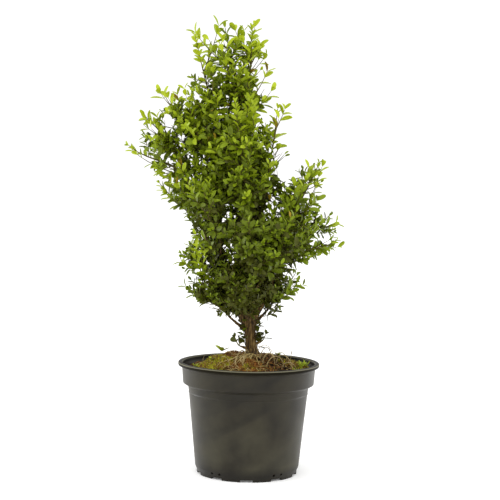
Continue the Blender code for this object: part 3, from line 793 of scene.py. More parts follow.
def ground_height(x: float, y: float) -> float:
    """Finds the compost's height at a place, in metres, as in the part's source.

    Args:
        x: The place, across.
        y: The place, in depth.

    Returns:
        The height.
    """
    radius = math.hypot(x, y)
    fall = clamp((radius - PLATEAU) / (COMPOST_EDGE - PLATEAU))
    eased = fall * fall * (3 - 2 * fall)
    turn = math.atan2(y, x)
    bumps = math.sin(3 * turn + 1.1) + math.sin(5 * turn + 70 * radius) + math.sin(90 * x - 40 * y)
    return GROUND + (GROUND_EDGE - GROUND) * eased + BUMP * bumps * math.sin(math.pi * fall)


def cushion_height(x: float, y: float) -> float:
    """Finds how high the moss cushions stand over the compost at a place, in metres.

    Args:
        x: The place, across.
        y: The place, in depth.

    Returns:
        The height; 0 beside the cushions.
    """
    best = 0.0
    for middle_x, middle_y, half_length, half_width, height in MOSS.values():
        turn = math.atan2(middle_y, middle_x) + math.pi / 2
        dx, dy = x - middle_x * MM, y - middle_y * MM
        along = (dx * math.cos(turn) + dy * math.sin(turn)) / (half_length * MM)
        across = (-dx * math.sin(turn) + dy * math.cos(turn)) / (half_width * MM)
        inside = max(1 - along * along - across * across, 0.0)
        best = max(best, height * MM * math.sqrt(inside))
    return best


# Sub-assemblies


def blade() -> Object:
    """Models one leaf out of a four-sided ball, a ring at a time: blunt, cupped and thin.

    Returns:
        The leaf: one unit long along Y and one unit wide, with its upper side to +Z.
    """
    leaf = primitive(bpy.ops.mesh.primitive_uv_sphere_add, segments=4, ring_count=6, radius=0.5)
    rings = {}
    for vertex in leaf.data.vertices:
        rings.setdefault(round(vertex.co.z, 3), []).append(vertex)
    cupped, bowed, half_thick = 0.09, 0.11, 0.012
    stations = (0.0, 0.12, 0.33, 0.56, 0.79, 0.94, 1.0)
    widths = (0.0, 0.34, 0.82, 1.0, 0.86, 0.5, 0.0)
    for (_, ring), station, width in zip(sorted(rings.items()), stations, widths):
        reach = max(max(abs(v.co.x) for v in ring), 1e-6)
        for vertex in ring:
            across, through = vertex.co.x / reach, vertex.co.y / reach
            if width == 0.0:
                across = through = 0.0
            rise = cupped * width * across * across - bowed * station * station
            vertex.co = (0.5 * width * across, station, rise - half_thick * through)
    with editing(leaf):
        weld()
    for face in leaf.data.polygons:
        face.material_index = 0 if face.normal.z > 0 else 1
    return leaf


@dataclass
class Pot:
    """The nursery pot: a thin moulded shell with a lip, a stepped band and a notched foot."""

    steps: int = 160
    rounding: float = 0.7 * MM
    notches: int = 10
    notch_size: Point = (11 * MM, 20 * MM, 7 * MM)
    notch_radius: float = 78.75 * MM
    drains: int = 5
    drain_radius: float = 2.1 * MM
    drain_place: Point = (82.5 * MM, 0, 9.8 * MM)
    drain_spread: float = 5.0
    inner_shade_height: float = 14 * MM
    # The section in mm, from the underside's pad out, up, over the lip and down to the floor.
    profile: tuple[tuple[float, float], ...] = (
        (13.0, 0.0), (13.0, 5.0), (76.0, 5.0), (76.0, 0.0), (81.5, 0.0), (81.5, 5.0),
        (84.5, 12.0), (96.6, 129.4), (97.3, 130.0), (97.3, 131.0), (96.9, 131.7), (98.2, 141.0),
        (106.5, 146.0), (108.5, 171.0), (114.6, 174.6), (115.0, 179.0), (113.6, 180.0),
        (108.6, 180.0), (107.0, 177.5), (104.7, 147.8), (96.2, 142.8), (82.9, 12.8), (79.7, 6.8),
        (13.0, 6.8),
    )

    def rounded(self) -> list[tuple[float, float]]:
        """Rounds the section's corners, as the mould does.

        Returns:
            The section in metres, with each corner drawn as a short arc.
        """
        points = [Vector((radius * MM, height * MM)) for radius, height in self.profile]
        made = [points[0]]
        for before, corner, after in zip(points, points[1:], points[2:]):
            into, out = before - corner, after - corner
            cut = min(self.rounding, into.length * 0.4, out.length * 0.4)
            start, end = corner + into.normalized() * cut, corner + out.normalized() * cut
            made += [start, start.lerp(end, 0.5).lerp(corner, 0.42), end]
        return [tuple(p) for p in (*made, points[-1])]

    def shell(self) -> Object:
        """Draws the shell out of a disc, whose rim is pulled on from point to point.

        Returns:
            The shell.
        """
        section = self.rounded()
        disc = {"vertices": self.steps, "radius": section[0][0], "fill_type": "NGON"}
        obj = primitive(bpy.ops.mesh.primitive_circle_add, location=(0, 0, section[0][1]), **disc)
        obj.name = "pot_shell"
        bpy.ops.object.transform_apply(location=True)
        with editing(obj):
            bpy.ops.mesh.select_mode(type="EDGE")
            bpy.ops.mesh.region_to_loop()
            for (radius, height), (next_radius, next_height) in zip(section, section[1:]):
                rise = {"value": (0, 0, next_height - height)}
                bpy.ops.mesh.extrude_edges_move(TRANSFORM_OT_translate=rise)
                ratio = next_radius / radius
                bpy.ops.transform.resize(value=(ratio, ratio, 1), center_override=(0, 0, 0))
            bpy.ops.mesh.edge_face_add()
            bpy.ops.mesh.select_all(action="SELECT")
            weld()
        return obj

    def cutters(self) -> Object:
        """Places the cutters for the foot's notches and the drain holes.

        Returns:
            The cutters, joined.
        """
        made = []
        notch = Matrix.Translation((self.notch_radius, 0, 0)) @ Matrix.Diagonal((*self.notch_size, 1))
        for i in range(self.notches):
            block = primitive(bpy.ops.mesh.primitive_cube_add, size=1)
            made.append((block, 360 * i / self.notches - 90, notch))
        drain = Matrix.Translation(self.drain_place) @ Matrix.Rotation(math.pi / 2, 4, "Y")
        bore = {"vertices": 16, "radius": self.drain_radius, "depth": 12 * MM}
        for i in range(self.drains):
            for side in (-self.drain_spread, self.drain_spread):
                hole = primitive(bpy.ops.mesh.primitive_cylinder_add, **bore)
                made.append((hole, 360 * (i + 0.5) / self.drains - 90 + side, drain))
        for cutter, turn, place in made:
            cutter.data.transform(Matrix.Rotation(math.radians(turn), 4, "Z") @ place)
            cutter.select_set(True)
        bpy.context.view_layer.objects.active = made[0][0]
        bpy.ops.object.join()
        return bpy.context.object

    def build(self) -> None:
        """Builds the pot; its inner wall above the floor has a near-black finish of its own, as painted
        shade.
        """
        pot = self.shell()
        cutters = self.cutters()
        apply_modifier(pot, "BOOLEAN", operation="DIFFERENCE", object=cutters, solver="EXACT")
        bpy.data.objects.remove(cutters)
        for face in pot.data.polygons:
            x, y, z = face.center
            inward = -face.normal.x * x - face.normal.y * y
            face.material_index = int(inward > 0.5 * math.hypot(x, y) and z > self.inner_shade_height)
        # The inner wall's near-black colours are painted shade inside the pot.
        inner_shade = {"face": "#0b0906", "worn": "#13100b", "dust": "#262117", "lip_highlight": "#262117", "sheen": 0.06}
        inside = PotPlastic("inner wall in painted shade", **inner_shade)
        declare(pot, 35, [PotPlastic(), inside], ["pot"])


@dataclass
class Ground:
    """The compost with what lies and grows on it: crumbs, fibres, straw and seedlings."""

    rings: int = 44
    steps: int = 150
    crumbs: int = 2600
    fibres: int = 1300
    straws: int = 22
    stems: int = 26
    edge: float = 0.1042
    lump_scale: float = 95.0
    lump_height: float = 2.4 * MM
    bare_strip: tuple[float, float] = (20 * MM, 66 * MM)
    rng: random.Random = field(default_factory=lambda: random.Random("compost"))

    def height(self, x: float, y: float) -> float:
        """Finds the surface's height with its small lumps, which fade out at the pot's wall.

        Args:
            x: The place, across.
            y: The place, in depth.

        Returns:
            The height in metres.
        """
        lumps = noise.turbulence(Vector((x, y, 0.0)) * self.lump_scale, 4, False, amplitude_scale=0.55)
        fade = clamp((self.edge - math.hypot(x, y)) / (8 * MM))
        return ground_height(x, y) + self.lump_height * (lumps - 0.6) * fade

    def top(self, x: float, y: float) -> float:
        """Finds the height of what lies uppermost, compost or moss, in metres."""
        return max(self.height(x, y), ground_height(x, y) + CUSHION_BODY * cushion_height(x, y) + MM)

    def on_top(self, x: float, y: float, lift: float = 0.0) -> Vector:
        """Finds the point over a place, both in mm, that is a lift above what lies uppermost."""
        return Vector((x * MM, y * MM, self.top(x * MM, y * MM) + lift * MM))

    def bare(self, x: float) -> bool:
        """Tells whether the compost right of the middle lies here, bare of fibres and moss."""
        return self.bare_strip[0] < x < self.bare_strip[1]

    def spot(self, reach: float = 0.97) -> tuple[float, float]:
        """Picks a random place on the compost.

        Args:
            reach: The share of the compost's radius that is used.

        Returns:
            The place in metres.
        """
        radius = self.edge * reach * math.sqrt(self.rng.random())
        turn = self.rng.uniform(0, math.tau)
        return radius * math.cos(turn), radius * math.sin(turn)

    def surface(self) -> None:
        """Spins the compost's body about the pot's axis and gives its top the small lumps."""
        body = primitive(bpy.ops.mesh.primitive_circle_add, vertices=3, radius=MM)
        body.name = "compost_body"
        hub = 0.25 * MM
        section = [(hub + (self.edge - hub) * i / self.rings, GROUND_EDGE) for i in range(self.rings + 1)]
        section += [(self.edge, 0.149), (95.6 * MM, 0.1435), (82.3 * MM, 13.2 * MM), (79 * MM, 7.4 * MM)]
        ops = bpy.ops.mesh
        with editing(body):
            ops.select_mode(type="VERT")
            ops.merge(type="CENTER")
            bpy.ops.transform.translate(value=(section[0][0], 0, section[0][1]))
            for (radius, height), (next_radius, next_height) in zip(section, section[1:]):
                step = {"value": (next_radius - radius, 0, next_height - height)}
                ops.extrude_vertices_move(TRANSFORM_OT_translate=step)
            ops.select_all(action="SELECT")
            ops.spin(steps=self.steps, angle=math.tau, center=(0, 0, 0), axis=(0, 0, 1))
            ops.select_all(action="SELECT")
            ops.remove_doubles(threshold=0.01 * MM)
            ops.select_all(action="DESELECT")
            ops.select_non_manifold()
            ops.fill()
            ops.select_all(action="SELECT")
            weld()
        for vertex in body.data.vertices:
            if vertex.co.z > GROUND_EDGE - MM:
                vertex.co.z = self.height(vertex.co.x, vertex.co.y)
        # The compost is dark brown, darkened further as painted shade between its crumbs and fibres.
        earth = Earthy("moist bark and peat compost", ("#1b1107", "#35230e", "#553b1a"), 7 * MM)
        declare(body, 60, [earth], ["compost"])

    def scatter_crumbs(self) -> None:
        """Scatters lumps of bark and peat over the surface, in three colours."""
        rng = self.rng
        sorts = (
            ("dark", ("#1a1208", "#2c1f0c", "#403016"), 0.4),
            ("brown", ("#432b12", "#66441f", "#85602f"), 0.46),
            ("straw", ("#6f5a2e", "#937c48", "#b7a26c"), 0.14),
        )
        for name, colours, share in sorts:
            crumb = primitive(bpy.ops.mesh.primitive_ico_sphere_add, subdivisions=1, radius=1.0)
            for vertex in crumb.data.vertices:
                vertex.co *= 1 + 0.35 * noise.noise(vertex.co * 3 + Vector((len(name), 0, 0)))
            places = []
            for _ in range(round(self.crumbs * share)):
                x, y = self.spot()
                # Half of the dark crumbs crowd the bare compost right of the middle, as painted shade in
                # its deep holes.
                if name == "dark" and rng.random() < 0.5:
                    x, y = rng.uniform(14, 66) * MM, rng.uniform(-74, -6) * MM
                size = rng.uniform(0.5, 1.0) * rng.choice((0.8, 1.0, 1.5, 2.3)) * MM
                shape = Matrix.Diagonal((size * rng.uniform(0.6, 2.2), size, size * 0.6, 1))
                turn = Matrix.Rotation(rng.uniform(0, math.tau), 4, "Z")
                tip = Matrix.Rotation(rng.uniform(-0.6, 0.6), 4, "X")
                if cushion_height(x, y) > 0 and rng.random() < 0.6 and not self.bare(x):
                    continue
                place = Matrix.Translation((x, y, self.top(x, y) + size * 0.2))
                places.append(place @ turn @ tip @ shape)
            piece = copies(f"compost_crumbs_{name}", crumb, places)
            bpy.data.objects.remove(crumb)
            declare(piece, 50, [Earthy(f"{name} compost crumb", colours, 3 * MM)])

    def fibre(self, length: float, x: float, y: float, turn: float, lift: float) -> Line:
        """Lays a fibre on the surface.

        Args:
            length: Its length in metres.
            x: Where its middle is, across.
            y: Where its middle is, in depth.
            turn: Which way it points, in radians.
            lift: How high its middle arches, in metres.

        Returns:
            Its points.
        """
        points = []
        bend = self.rng.uniform(-1.6, 1.6)
        limit = self.edge - 2 * MM
        for i in range(7):
            t = i / 6 - 0.5
            px = x + math.cos(turn + bend * t) * length * t
            py = y + math.sin(turn + bend * t) * length * t
            away = math.hypot(px, py)
            if away > limit:
                px, py = px * limit / away, py * limit / away
            arch = lift * (1 - 4 * t * t)
            points.append(Vector((px, py, self.top(px, py) + 0.5 * MM + arch)))
        return points

    def strands(self) -> list[Limb]:
        """Lays the bundle of straw that runs down from the trunk's foot towards the front left.

        Returns:
            The straws.
        """
        draw = self.rng.uniform
        made = []
        for _ in range(self.straws):
            x, y = draw(-12, 14) * MM, draw(-20, -10) * MM
            way = math.radians(draw(225, 275))
            length = draw(28, 62) * MM
            middle = x + math.cos(way) * length / 2, y + math.sin(way) * length / 2
            line = self.fibre(length, *middle, way, draw(2, 6) * MM)
            radius = draw(0.35, 0.75) * MM
            made.append((line, [radius] * 6 + [radius * 0.5]))
        return made

    def lay_fibres(self) -> None:
        """Lays straw and reddish root fibres over the compost."""
        draw = self.rng.uniform
        sorts = (
            ("straw", ("#846f3e", "#ab9760", "#cdbd8a"), 0.2, 0.42),
            ("root", ("#4a2e13", "#785024", "#a57a42"), 0.7, 0.36),
        )
        for name, colours, share, thick in sorts:
            limbs = []
            for _ in range(round(self.fibres * share)):
                x, y = self.spot(0.93)
                if self.bare(x) and self.rng.random() < 0.75:
                    continue
                length = draw(7, 24) * MM
                lift = draw(0.0, 3.0) * MM
                line = self.fibre(length, x, y, draw(0, math.tau), lift)
                radius = draw(0.5, 1.2) * thick * MM
                limbs.append((line, [radius * 0.6, *[radius] * 5, radius * 0.4]))
            if name == "straw":
                limbs += self.strands()
            piece = drawn_limbs(f"compost_{name}_fibres", limbs, 0)
            declare(piece, 60, [Earthy(f"{name} fibre", colours, 9 * MM)])

    def stand_stalks(self) -> None:
        """Stands the wiry stems, and the loops that arch from place to place, on the compost."""
        loops = (
            (22, -44, 42, -38, 26, 0.8), (28, -60, 56, -44, 20, 0.8), (44, -30, 70, -40, 20, 0.7),
            (18, -34, 36, -14, 22, 0.6), (52, -54, 78, -50, 15, 0.7), (12, -30, 40, -24, 30, 0.5),
            (-6, -22, -22, -66, 9, 0.9), (0, -18, -10, -72, 7, 0.8), (40, -20, 62, -6, 12, 0.5),
            (-30, -60, -46, -40, 10, 0.5),
        )
        wires = []
        for x, y, end_x, end_y, high, thick in loops:
            start, end = self.on_top(x, y, -1), self.on_top(end_x, end_y)
            line = bezier(start, raised((end - start) * 4, 1), end, raised((end - start) * 6, -1), 9)
            for i, point in enumerate(line):
                point.z += high * MM * 0.55 * (1 - ((i - 4) / 4) ** 2)
            wires.append((line, [thick * MM] * 8 + [thick * MM * 0.5]))
        for _ in range(self.stems):
            x, y = self.spot(0.9)
            start = Vector((x, y, self.top(x, y) - MM))
            lean = Vector((self.rng.uniform(-0.4, 0.4), self.rng.uniform(-0.4, 0.4), 1)).normalized()
            length = self.rng.uniform(6, 15) * MM
            tip = start + lean * length + Vector((length * 0.15, 0, 0))
            wires.append(([start, start + lean * length * 0.5, tip], [0.32 * MM, 0.25 * MM, 0.15 * MM]))
        foot = self.on_top(67, -8, -1)
        stalk = [foot + Vector((i * 0.4 * MM, 0, i * 3 * MM)) for i in range(7)]
        wires.append((stalk, [0.35 * MM] * 5 + [0.9 * MM, 0.5 * MM]))
        stalks = drawn_limbs("compost_wiry_stalks", wires, 1)
        dry = Earthy("dry wiry stalk", ("#6b5a34", "#95835a", "#b9a87c"), 12 * MM)
        declare(stalks, 60, [dry])

    def sow_weeds(self) -> None:
        """Stands a three-leaved seedling at the left and tufts of narrow leaves at the right."""
        draw = self.rng.uniform
        plants = (
            (-44, -14, 3, 16, 0.62, 55, 8), (-60, -30, 3, 8, 0.6, 50, 3),
            (84, -26, 12, 15, 0.16, 28, 0), (92, -8, 9, 13, 0.16, 30, 0),
            (76, -48, 8, 12, 0.18, 34, 0), (-86, -8, 8, 11, 0.18, 34, 0),
            (48, 24, 5, 10, 0.5, 50, 4),
        )
        places = []
        for x, y, count, length, width, lean, stem in plants:
            foot = self.on_top(x, y, stem - 1)
            for i in range(count):
                turn = math.tau * (i + draw(-0.2, 0.2)) / count
                out = Vector((math.cos(turn), math.sin(turn), 0))
                tilt = math.radians(lean + draw(-12, 12))
                long = out * math.sin(tilt) + Vector((0, 0, math.cos(tilt)))
                up = Vector((0, 0, math.sin(tilt))) - out * math.cos(tilt)
                reach = length * MM * draw(0.75, 1.1)
                turned = Matrix((long.cross(up), long, up)).transposed().to_4x4()
                size = Matrix.Diagonal((reach * width, reach, reach, 1))
                places.append(Matrix.Translation(foot) @ turned @ size)
        leaf = blade()
        piece = copies("compost_weed_leaves", leaf, places)
        bpy.data.objects.remove(leaf)
        beneath = LeafSkin("weed leaf, beneath", "#929c46", 0.6)
        declare(piece, 50, [LeafSkin("weed leaf, above", "#9dac32"), beneath])

    def build(self) -> None:
        """Builds the compost and all that lies on it."""
        self.surface()
        self.scatter_crumbs()
        self.lay_fibres()
        self.stand_stalks()
        self.sow_weeds()


@dataclass
class Moss:
    """The moss: low cushions of short upright shoots."""

    ground: Ground
    shoots: int = 6000
    shoot_height: float = 4.6 * MM
    rim: float = 0.1015
    lump_scale: float = 260.0
    lump_height: float = 0.9 * MM
    patch_scale: float = 75.0
    bright_edge: float = -18 * MM
    dry_edge: float = 48 * MM

    def cushions(self) -> None:
        """Builds the cushions' body out of a fine grid that is draped over the compost."""
        fine = {"x_subdivisions": 90, "y_subdivisions": 90, "size": 0.21}
        body = primitive(bpy.ops.mesh.primitive_grid_add, **fine)
        body.name = "moss_body"
        outside = set()
        for vertex in body.data.vertices:
            x, y, _ = vertex.co
            high = cushion_height(x, y)
            if math.hypot(x, y) > self.rim or high <= 0:
                outside.add(vertex.index)
            lumps = noise.noise(Vector((x, y, 0)) * self.lump_scale) * self.lump_height
            vertex.co.z = ground_height(x, y) + (high * CUSHION_BODY + lumps)
            vertex.select = vertex.index in outside
        for part in (*body.data.edges, *body.data.polygons):
            part.select = all(i in outside for i in part.vertices)
        with editing(body, whole=False):
            bpy.ops.mesh.select_mode(type="VERT")
            bpy.ops.mesh.delete(type="VERT")
        apply_modifier(body, "SOLIDIFY", thickness=3 * MM, offset=-1.0)
        for face in body.data.polygons:
            x = face.center.x
            dry = self.bright_edge < x < self.ground.bare_strip[1]
            face.material_index = 2 if self.ground.bare(x) else int(dry)
        sorts = (
            ("moss cushion", ("#565012", "#7d7320", "#a3983c"), 4 * MM),
            ("dry moss mat", ("#342008", "#684217", "#996a30"), 5 * MM),
            ("compost on moss", ("#2a1b0a", "#4a3114", "#6a4c24"), 5 * MM),
        )
        declare(body, 60, [Earthy(*sort, relief=1.2 * MM) for sort in sorts], list(MOSS))

    def sort_at(self, x: float, chance: float) -> str:
        """Picks a shoot's sort: mostly bright at the left, dry in the middle, dull at the right.

        Args:
            x: Where the shoot stands, across.
            chance: A random number, shifted by patches.

        Returns:
            The sort.
        """
        if x < self.bright_edge:
            return "bright" if chance < 0.7 else "dull" if chance < 1.0 else "dry"
        if x < self.dry_edge:
            return "dry" if chance < 0.72 else "dull" if chance < 0.92 else "bright"
        return "dull" if chance < 0.5 else "dry" if chance < 0.7 else "bright"

    def build(self) -> None:
        """Builds the cushions and their shoots."""
        rng = random.Random("moss")
        self.cushions()
        cone = {"vertices": 3, "radius1": 0.17, "radius2": 0.0, "depth": 1.0, "location": (0, 0, 0.5)}
        shoot = primitive(bpy.ops.mesh.primitive_cone_add, **cone)
        bpy.ops.object.transform_apply(location=True)
        grown = {"bright": [], "dull": [], "dry": []}
        left = self.shoots
        while left > 0:
            x, y = self.ground.spot()
            high = cushion_height(x, y)
            if high <= 0:
                continue
            left -= 1
            if self.ground.bare(x) and rng.random() < 0.85:
                continue
            patch = noise.noise(Vector((x, y, 0)) * self.patch_scale)
            tall = self.shoot_height * rng.uniform(0.5, 1.4) * (1 + 0.5 * patch)
            lean = Matrix.Rotation(rng.gauss(0, 0.7), 4, "X") @ Matrix.Rotation(rng.gauss(0, 0.7), 4, "Y")
            stand = ground_height(x, y) + high * CUSHION_BODY - 0.6 * MM
            size = Matrix.Diagonal((tall * 0.9, tall * 0.9, tall, 1))
            place = Matrix.Translation((x, y, stand)) @ lean @ size
            grown[self.sort_at(x, rng.random() - 0.9 * patch)].append(place)
        colours = {
            "bright": ("#7d7c16", "#a9a726", "#cfc94a"),
            "dull": ("#4c4814", "#737026", "#96943c"),
            "dry": ("#553413", "#8c5a26", "#bb8c48"),
        }
        for name, places in grown.items():
            piece = copies(f"moss_shoots_{name}", shoot, places)
            declare(piece, 60, [Earthy(f"{name} moss shoot", colours[name], 4 * MM)])
        bpy.data.objects.remove(shoot)


@dataclass
class Wood:
    """The trunk and boughs: their lines by the source's rule, and one mesh with the bark's relief."""

    voxel: float = 0.95 * MM
    relief: float = 0.85 * MM
    strips_across: float = 330.0
    strips_along: float = 46.0
    lines: dict[str, Line] = field(default_factory=dict)
    radii: dict[str, list[float]] = field(default_factory=dict)
    drawn: dict[str, Line] = field(default_factory=dict)

    def __post_init__(self) -> None:
        """Works out each limb's line from its parent's."""
        points = [leaning(p) for p in TRUNK_LINE]
        self.lines["trunk"] = smooth_line(points, TRUNK_POINTS)
        self.radii["trunk"] = [self.trunk_radius(p) for p in self.lines["trunk"]]
        self.drawn["trunk"] = smooth_line(points, 60)
        for bough in BOUGHS:
            self.add(bough)

    def trunk_radius(self, point: Vector) -> float:
        """Finds the trunk's radius at a point: flared at its foot, slimmer above the fork.

        Args:
            point: The point on the trunk's line.

        Returns:
            The radius.
        """
        flare = FLARE * max(1 - (point.z - GROUND) / FLARE_HEIGHT, 0.0) ** 2
        if point.z < FORK_HEIGHT:
            return TRUNK_RADIUS + flare
        start = TRUNK_RADIUS * ABOVE_FORK
        share = (point.z - FORK_HEIGHT) / (TRUNK_LINE[-1][2] * MM - FORK_HEIGHT)
        soften = max(1 - (point.z - FORK_HEIGHT) / (2 * TRUNK_RADIUS), 0.0)
        return start + (TRUNK_TIP_RADIUS - start) * share + (TRUNK_RADIUS - start) * soften

    def radius_at(self, name: str, share: float) -> float:
        """Finds a limb's radius.

        Args:
            name: The limb.
            share: The share of its points, from 0 to 1.

        Returns:
            The radius.
        """
        radii = self.radii[name]
        place = share * (len(radii) - 1)
        low = min(int(place), len(radii) - 2)
        return radii[low] + (radii[low + 1] - radii[low]) * (place - low)

    def add(self, bough: Bough) -> None:
        """Works out a bough's line: out of its parent along a stub, then on to its tip.

        Args:
            bough: The bough.
        """
        line = self.lines[bough.parent]
        foot, parent_way = at_share(line, bough.share)
        tip = leaning(bough.tip)
        out = (tip - foot).normalized()
        angle = max(parent_way.angle(out), math.radians(LEAST_FORK_ANGLE))
        side = (out - parent_way * out.dot(parent_way)).normalized()
        way = parent_way * math.cos(angle) + side * math.sin(angle)
        thick = bough.radius * MM
        wall = self.radius_at(bough.parent, from_line(line, foot)[1])
        stub = foot + way * ((wall + STUB_CLEARANCE + thick * math.cos(angle)) / math.sin(angle))
        rise = raised(out, 0.35)
        self.lines[bough.name] = bezier(stub, way, tip, rise, LIMB_POINTS)
        self.drawn[bough.name] = [foot, foot.lerp(stub, 0.6)] + bezier(stub, way, tip, rise, 16)
        step = (bough.tip_radius * MM - thick) / (LIMB_POINTS - 1)
        self.radii[bough.name] = [thick + step * i for i in range(LIMB_POINTS)]

    def limbs(self) -> list[Limb]:
        """Lists the drawn limbs; the thick boughs swell most at their feet and widen the fork.

        Returns:
            The limbs, with a radius at each point.
        """
        made = [(self.drawn["trunk"], [self.trunk_radius(p) for p in self.drawn["trunk"]])]
        for bough in BOUGHS:
            line = self.drawn[bough.name]
            last = len(line) - 1
            collar = 1.3 if bough.parent == "trunk" and bough.radius > 4 else 0.4
            taper = []
            for i in range(last + 1):
                radius = bough.radius + (bough.tip_radius - bough.radius) * i / last
                taper.append(radius * (1 + collar * (1 - i / last) ** 4) * MM)
            made.append((line, taper))
        return made

    def build(self) -> None:
        """Builds the wood: limbs fused by a remesh, then the bark's strips raised in the surface."""
        wood = drawn_limbs("bark_of_trunk_and_boughs", self.limbs(), 4)
        apply_modifier(wood, "REMESH", mode="VOXEL", voxel_size=self.voxel)
        trunk = self.drawn["trunk"]
        normals = [v.normal.copy() for v in wood.data.vertices]
        for vertex, normal in zip(wood.data.vertices, normals):
            place = vertex.co
            fade = 1 - (place.z - trunk[0].z) / FLARE_HEIGHT
            if fade > 0:
                out = Vector((place.x - trunk[0].x, place.y - trunk[0].y, 0.0))
                vertex.co += out * LOBE_DEPTH * fade * math.cos(5 * math.atan2(out.y, out.x) + 0.6)
            across = self.strips_across
            grain = Vector((place.x * across, place.y * across, place.z * self.strips_along))
            strips = noise.turbulence(grain, 3, True, amplitude_scale=0.6)
            thin = min(1.0, 0.35 + from_line(trunk, place)[0] / (9 * MM)) if place.z < 0.25 else 0.45
            vertex.co += normal * self.relief * (strips - 0.55) * thin
            vertex.co.z = max(vertex.co.z, GROUND - 1.5 * MM)
        declare(wood, 60, [Bark()], ["trunk", *(bough.name for bough in BOUGHS)])


@dataclass
class Foliage:
    """The leafy shoots of every plume, grown by the source's rule and on to finer twigs.

    Lengths are in metres, leans in degrees and turns in radians. leaf and rng are the share of
    leaf size and the random numbers of what grows at the time.
    """

    wood: Wood
    leaf_length: float = 18.5 * MM
    leaf_width: float = 0.43
    sprout_width: float = 0.66
    leaf_lean: float = 58.0
    pair_spacing: float = 10.5 * MM
    tip_leaf: float = 13 * MM
    twig_share: float = 2.4
    twig_lean: float = 58.0
    least_twig: float = 14 * MM
    bearing_twig: float = 22 * MM
    least_shoot: float = 12 * MM
    least_reach: float = 46 * MM
    leaders: int = 4
    tries: int = 3
    retry_turn: float = 2.1
    twig_cuts: tuple[float, ...] = (1.05, 0.85, 0.62)
    leader_cuts: tuple[float, ...] = (0.95, 0.8, 0.62, 0.45)
    wood_clearance: float = 0.6 * MM
    ground_clearance: float = 6 * MM
    skirt_height: float = 0.257
    skirt_slope: float = 0.35
    light_patch: float = 34 * MM
    thinning: float = 0.86
    flushed: float = 0.012
    leaf: float = 1.0
    rng: random.Random = field(default_factory=random.Random)
    stems: dict[str, Line] = field(default_factory=dict)
    twigs: list[Limb] = field(default_factory=list)
    leaves: dict[Tone, list[Matrix]] = field(default_factory=lambda: {tone: [] for tone in Tone})

    def __post_init__(self) -> None:
        """Works out each plume's stem."""
        for plume in PLUMES:
            line = self.wood.lines[plume.limb]
            tip = leaning(plume.tip)
            rise = raised((tip - line[-1]).normalized(), 0.3)
            way = (line[-1] - line[-2]).normalized()
            self.stems[plume.name] = bezier(line[-1], way, tip - rise * self.tip_leaf, rise, 8)

    def crown_share(self, point: Vector, slack: float, depth: float = 1.0) -> float:
        """Finds how far out in the crown a point is.

        Args:
            point: The point.
            slack: How far the crown's outline is let out, in metres.
            depth: The weight of the point's distance from the middle in depth.

        Returns:
            0 on the crown's axis, 1 on its outline, and infinity above and below the crown.
        """
        left, right = crown_sides(point.z)
        if right - left <= 0:
            return math.inf
        half = (right - left) / 2 + slack
        across = (point.x - (left + right) / 2) / half
        return math.hypot(across, depth * point.y / (half * CROWN_DEPTH))

    def in_space(self, plume: Plume, point: Vector, slack: float) -> bool:
        """Tells whether a point is in the plume's own space, nearer to its stem than to others.

        Args:
            plume: The plume.
            point: The point.
            slack: How far the space is let out, in metres.

        Returns:
            Whether it is.
        """
        mine = from_line(self.stems[plume.name], point)[0]
        for other in PLUMES:
            if other is not plume:
                away = from_line(self.stems[other.name], point)[0]
                if mine > (mine + away) * plume.width / (plume.width + other.width) + slack:
                    return False
        return True

    def in_plume(self, plume: Plume, point: Vector) -> bool:
        """Tells whether a point is in the plume's spindle, which narrows to the tip.

        Args:
            plume: The plume.
            point: The point.

        Returns:
            Whether it is.
        """
        away, share = from_line(self.stems[plume.name], point)
        slim = 1 - 0.38 * clamp((point.z - 0.6) / 0.1)
        return away <= plume.width * MM * (1.05 - 0.72 * share * share) * slim - 6 * MM

    def off_limbs(self, point: Vector) -> bool:
        """Tells whether a point is off the compost, the trunk and the boughs.

        Args:
            point: The point.

        Returns:
            Whether it is.
        """
        if point.z < GROUND + self.ground_clearance:
            return False
        for name, line in self.wood.lines.items():
            away, share = from_line(line, point)
            if away < self.wood.radius_at(name, share) + self.wood_clearance:
                return False
        return True

    def in_gap(self, point: Vector) -> bool:
        """Tells whether a point lies in front of or behind one of the rim's gaps.

        Args:
            point: The point.

        Returns:
            Whether it does.
        """
        nearer = VIEW_DISTANCE / (VIEW_DISTANCE + point.y)
        high = VIEW_HEIGHT + (point.z - VIEW_HEIGHT) * nearer
        side = point.x * nearer - LEAN * (high - LEAN_FOOT * MM)
        for x, z, wide, tall in GAPS:
            if math.hypot((side - x * MM) / (wide * MM), (high - z * MM) / (tall * MM)) < 1:
                return True
        return False

    def tone_of(self, point: Vector) -> float:
        """Finds how much painted light a shoot's leaves get, from where the shoot ends.

        Args:
            point: The shoot's tip.

        Returns:
            0 deep inside the crown, and 1 at a lit tip.
        """
        share = min(self.crown_share(point, 0.0, 0.62), 1.2)
        height = (point.z - 0.25) / 0.48
        # More painted light high up and at the rim, painted shade at the crown's foot, and broad painted
        # patches.
        foot = max(1 - (point.z - 0.24) / 0.075, 0.0) * max(1 - abs(point.x) / 0.09, 0.0)
        patch = noise.noise(point / self.light_patch)
        return 0.59 * height + 0.36 * share * share - 0.45 * foot + 0.26 * patch + self.rng.gauss(0, 0.05)

    def pick_tone(self, bright: float) -> Tone:
        """Deals a leaf its colour.

        Args:
            bright: How bright its shoot is.

        Returns:
            The colour.
        """
        if bright > 0.55 and self.rng.random() < self.flushed:
            return Tone.FLUSHED
        for limit, tone in ((0.24, Tone.SHADE), (0.40, Tone.DEEP), (0.57, Tone.MID), (0.78, Tone.FRESH)):
            if bright < limit:
                return tone
        return Tone.TIP

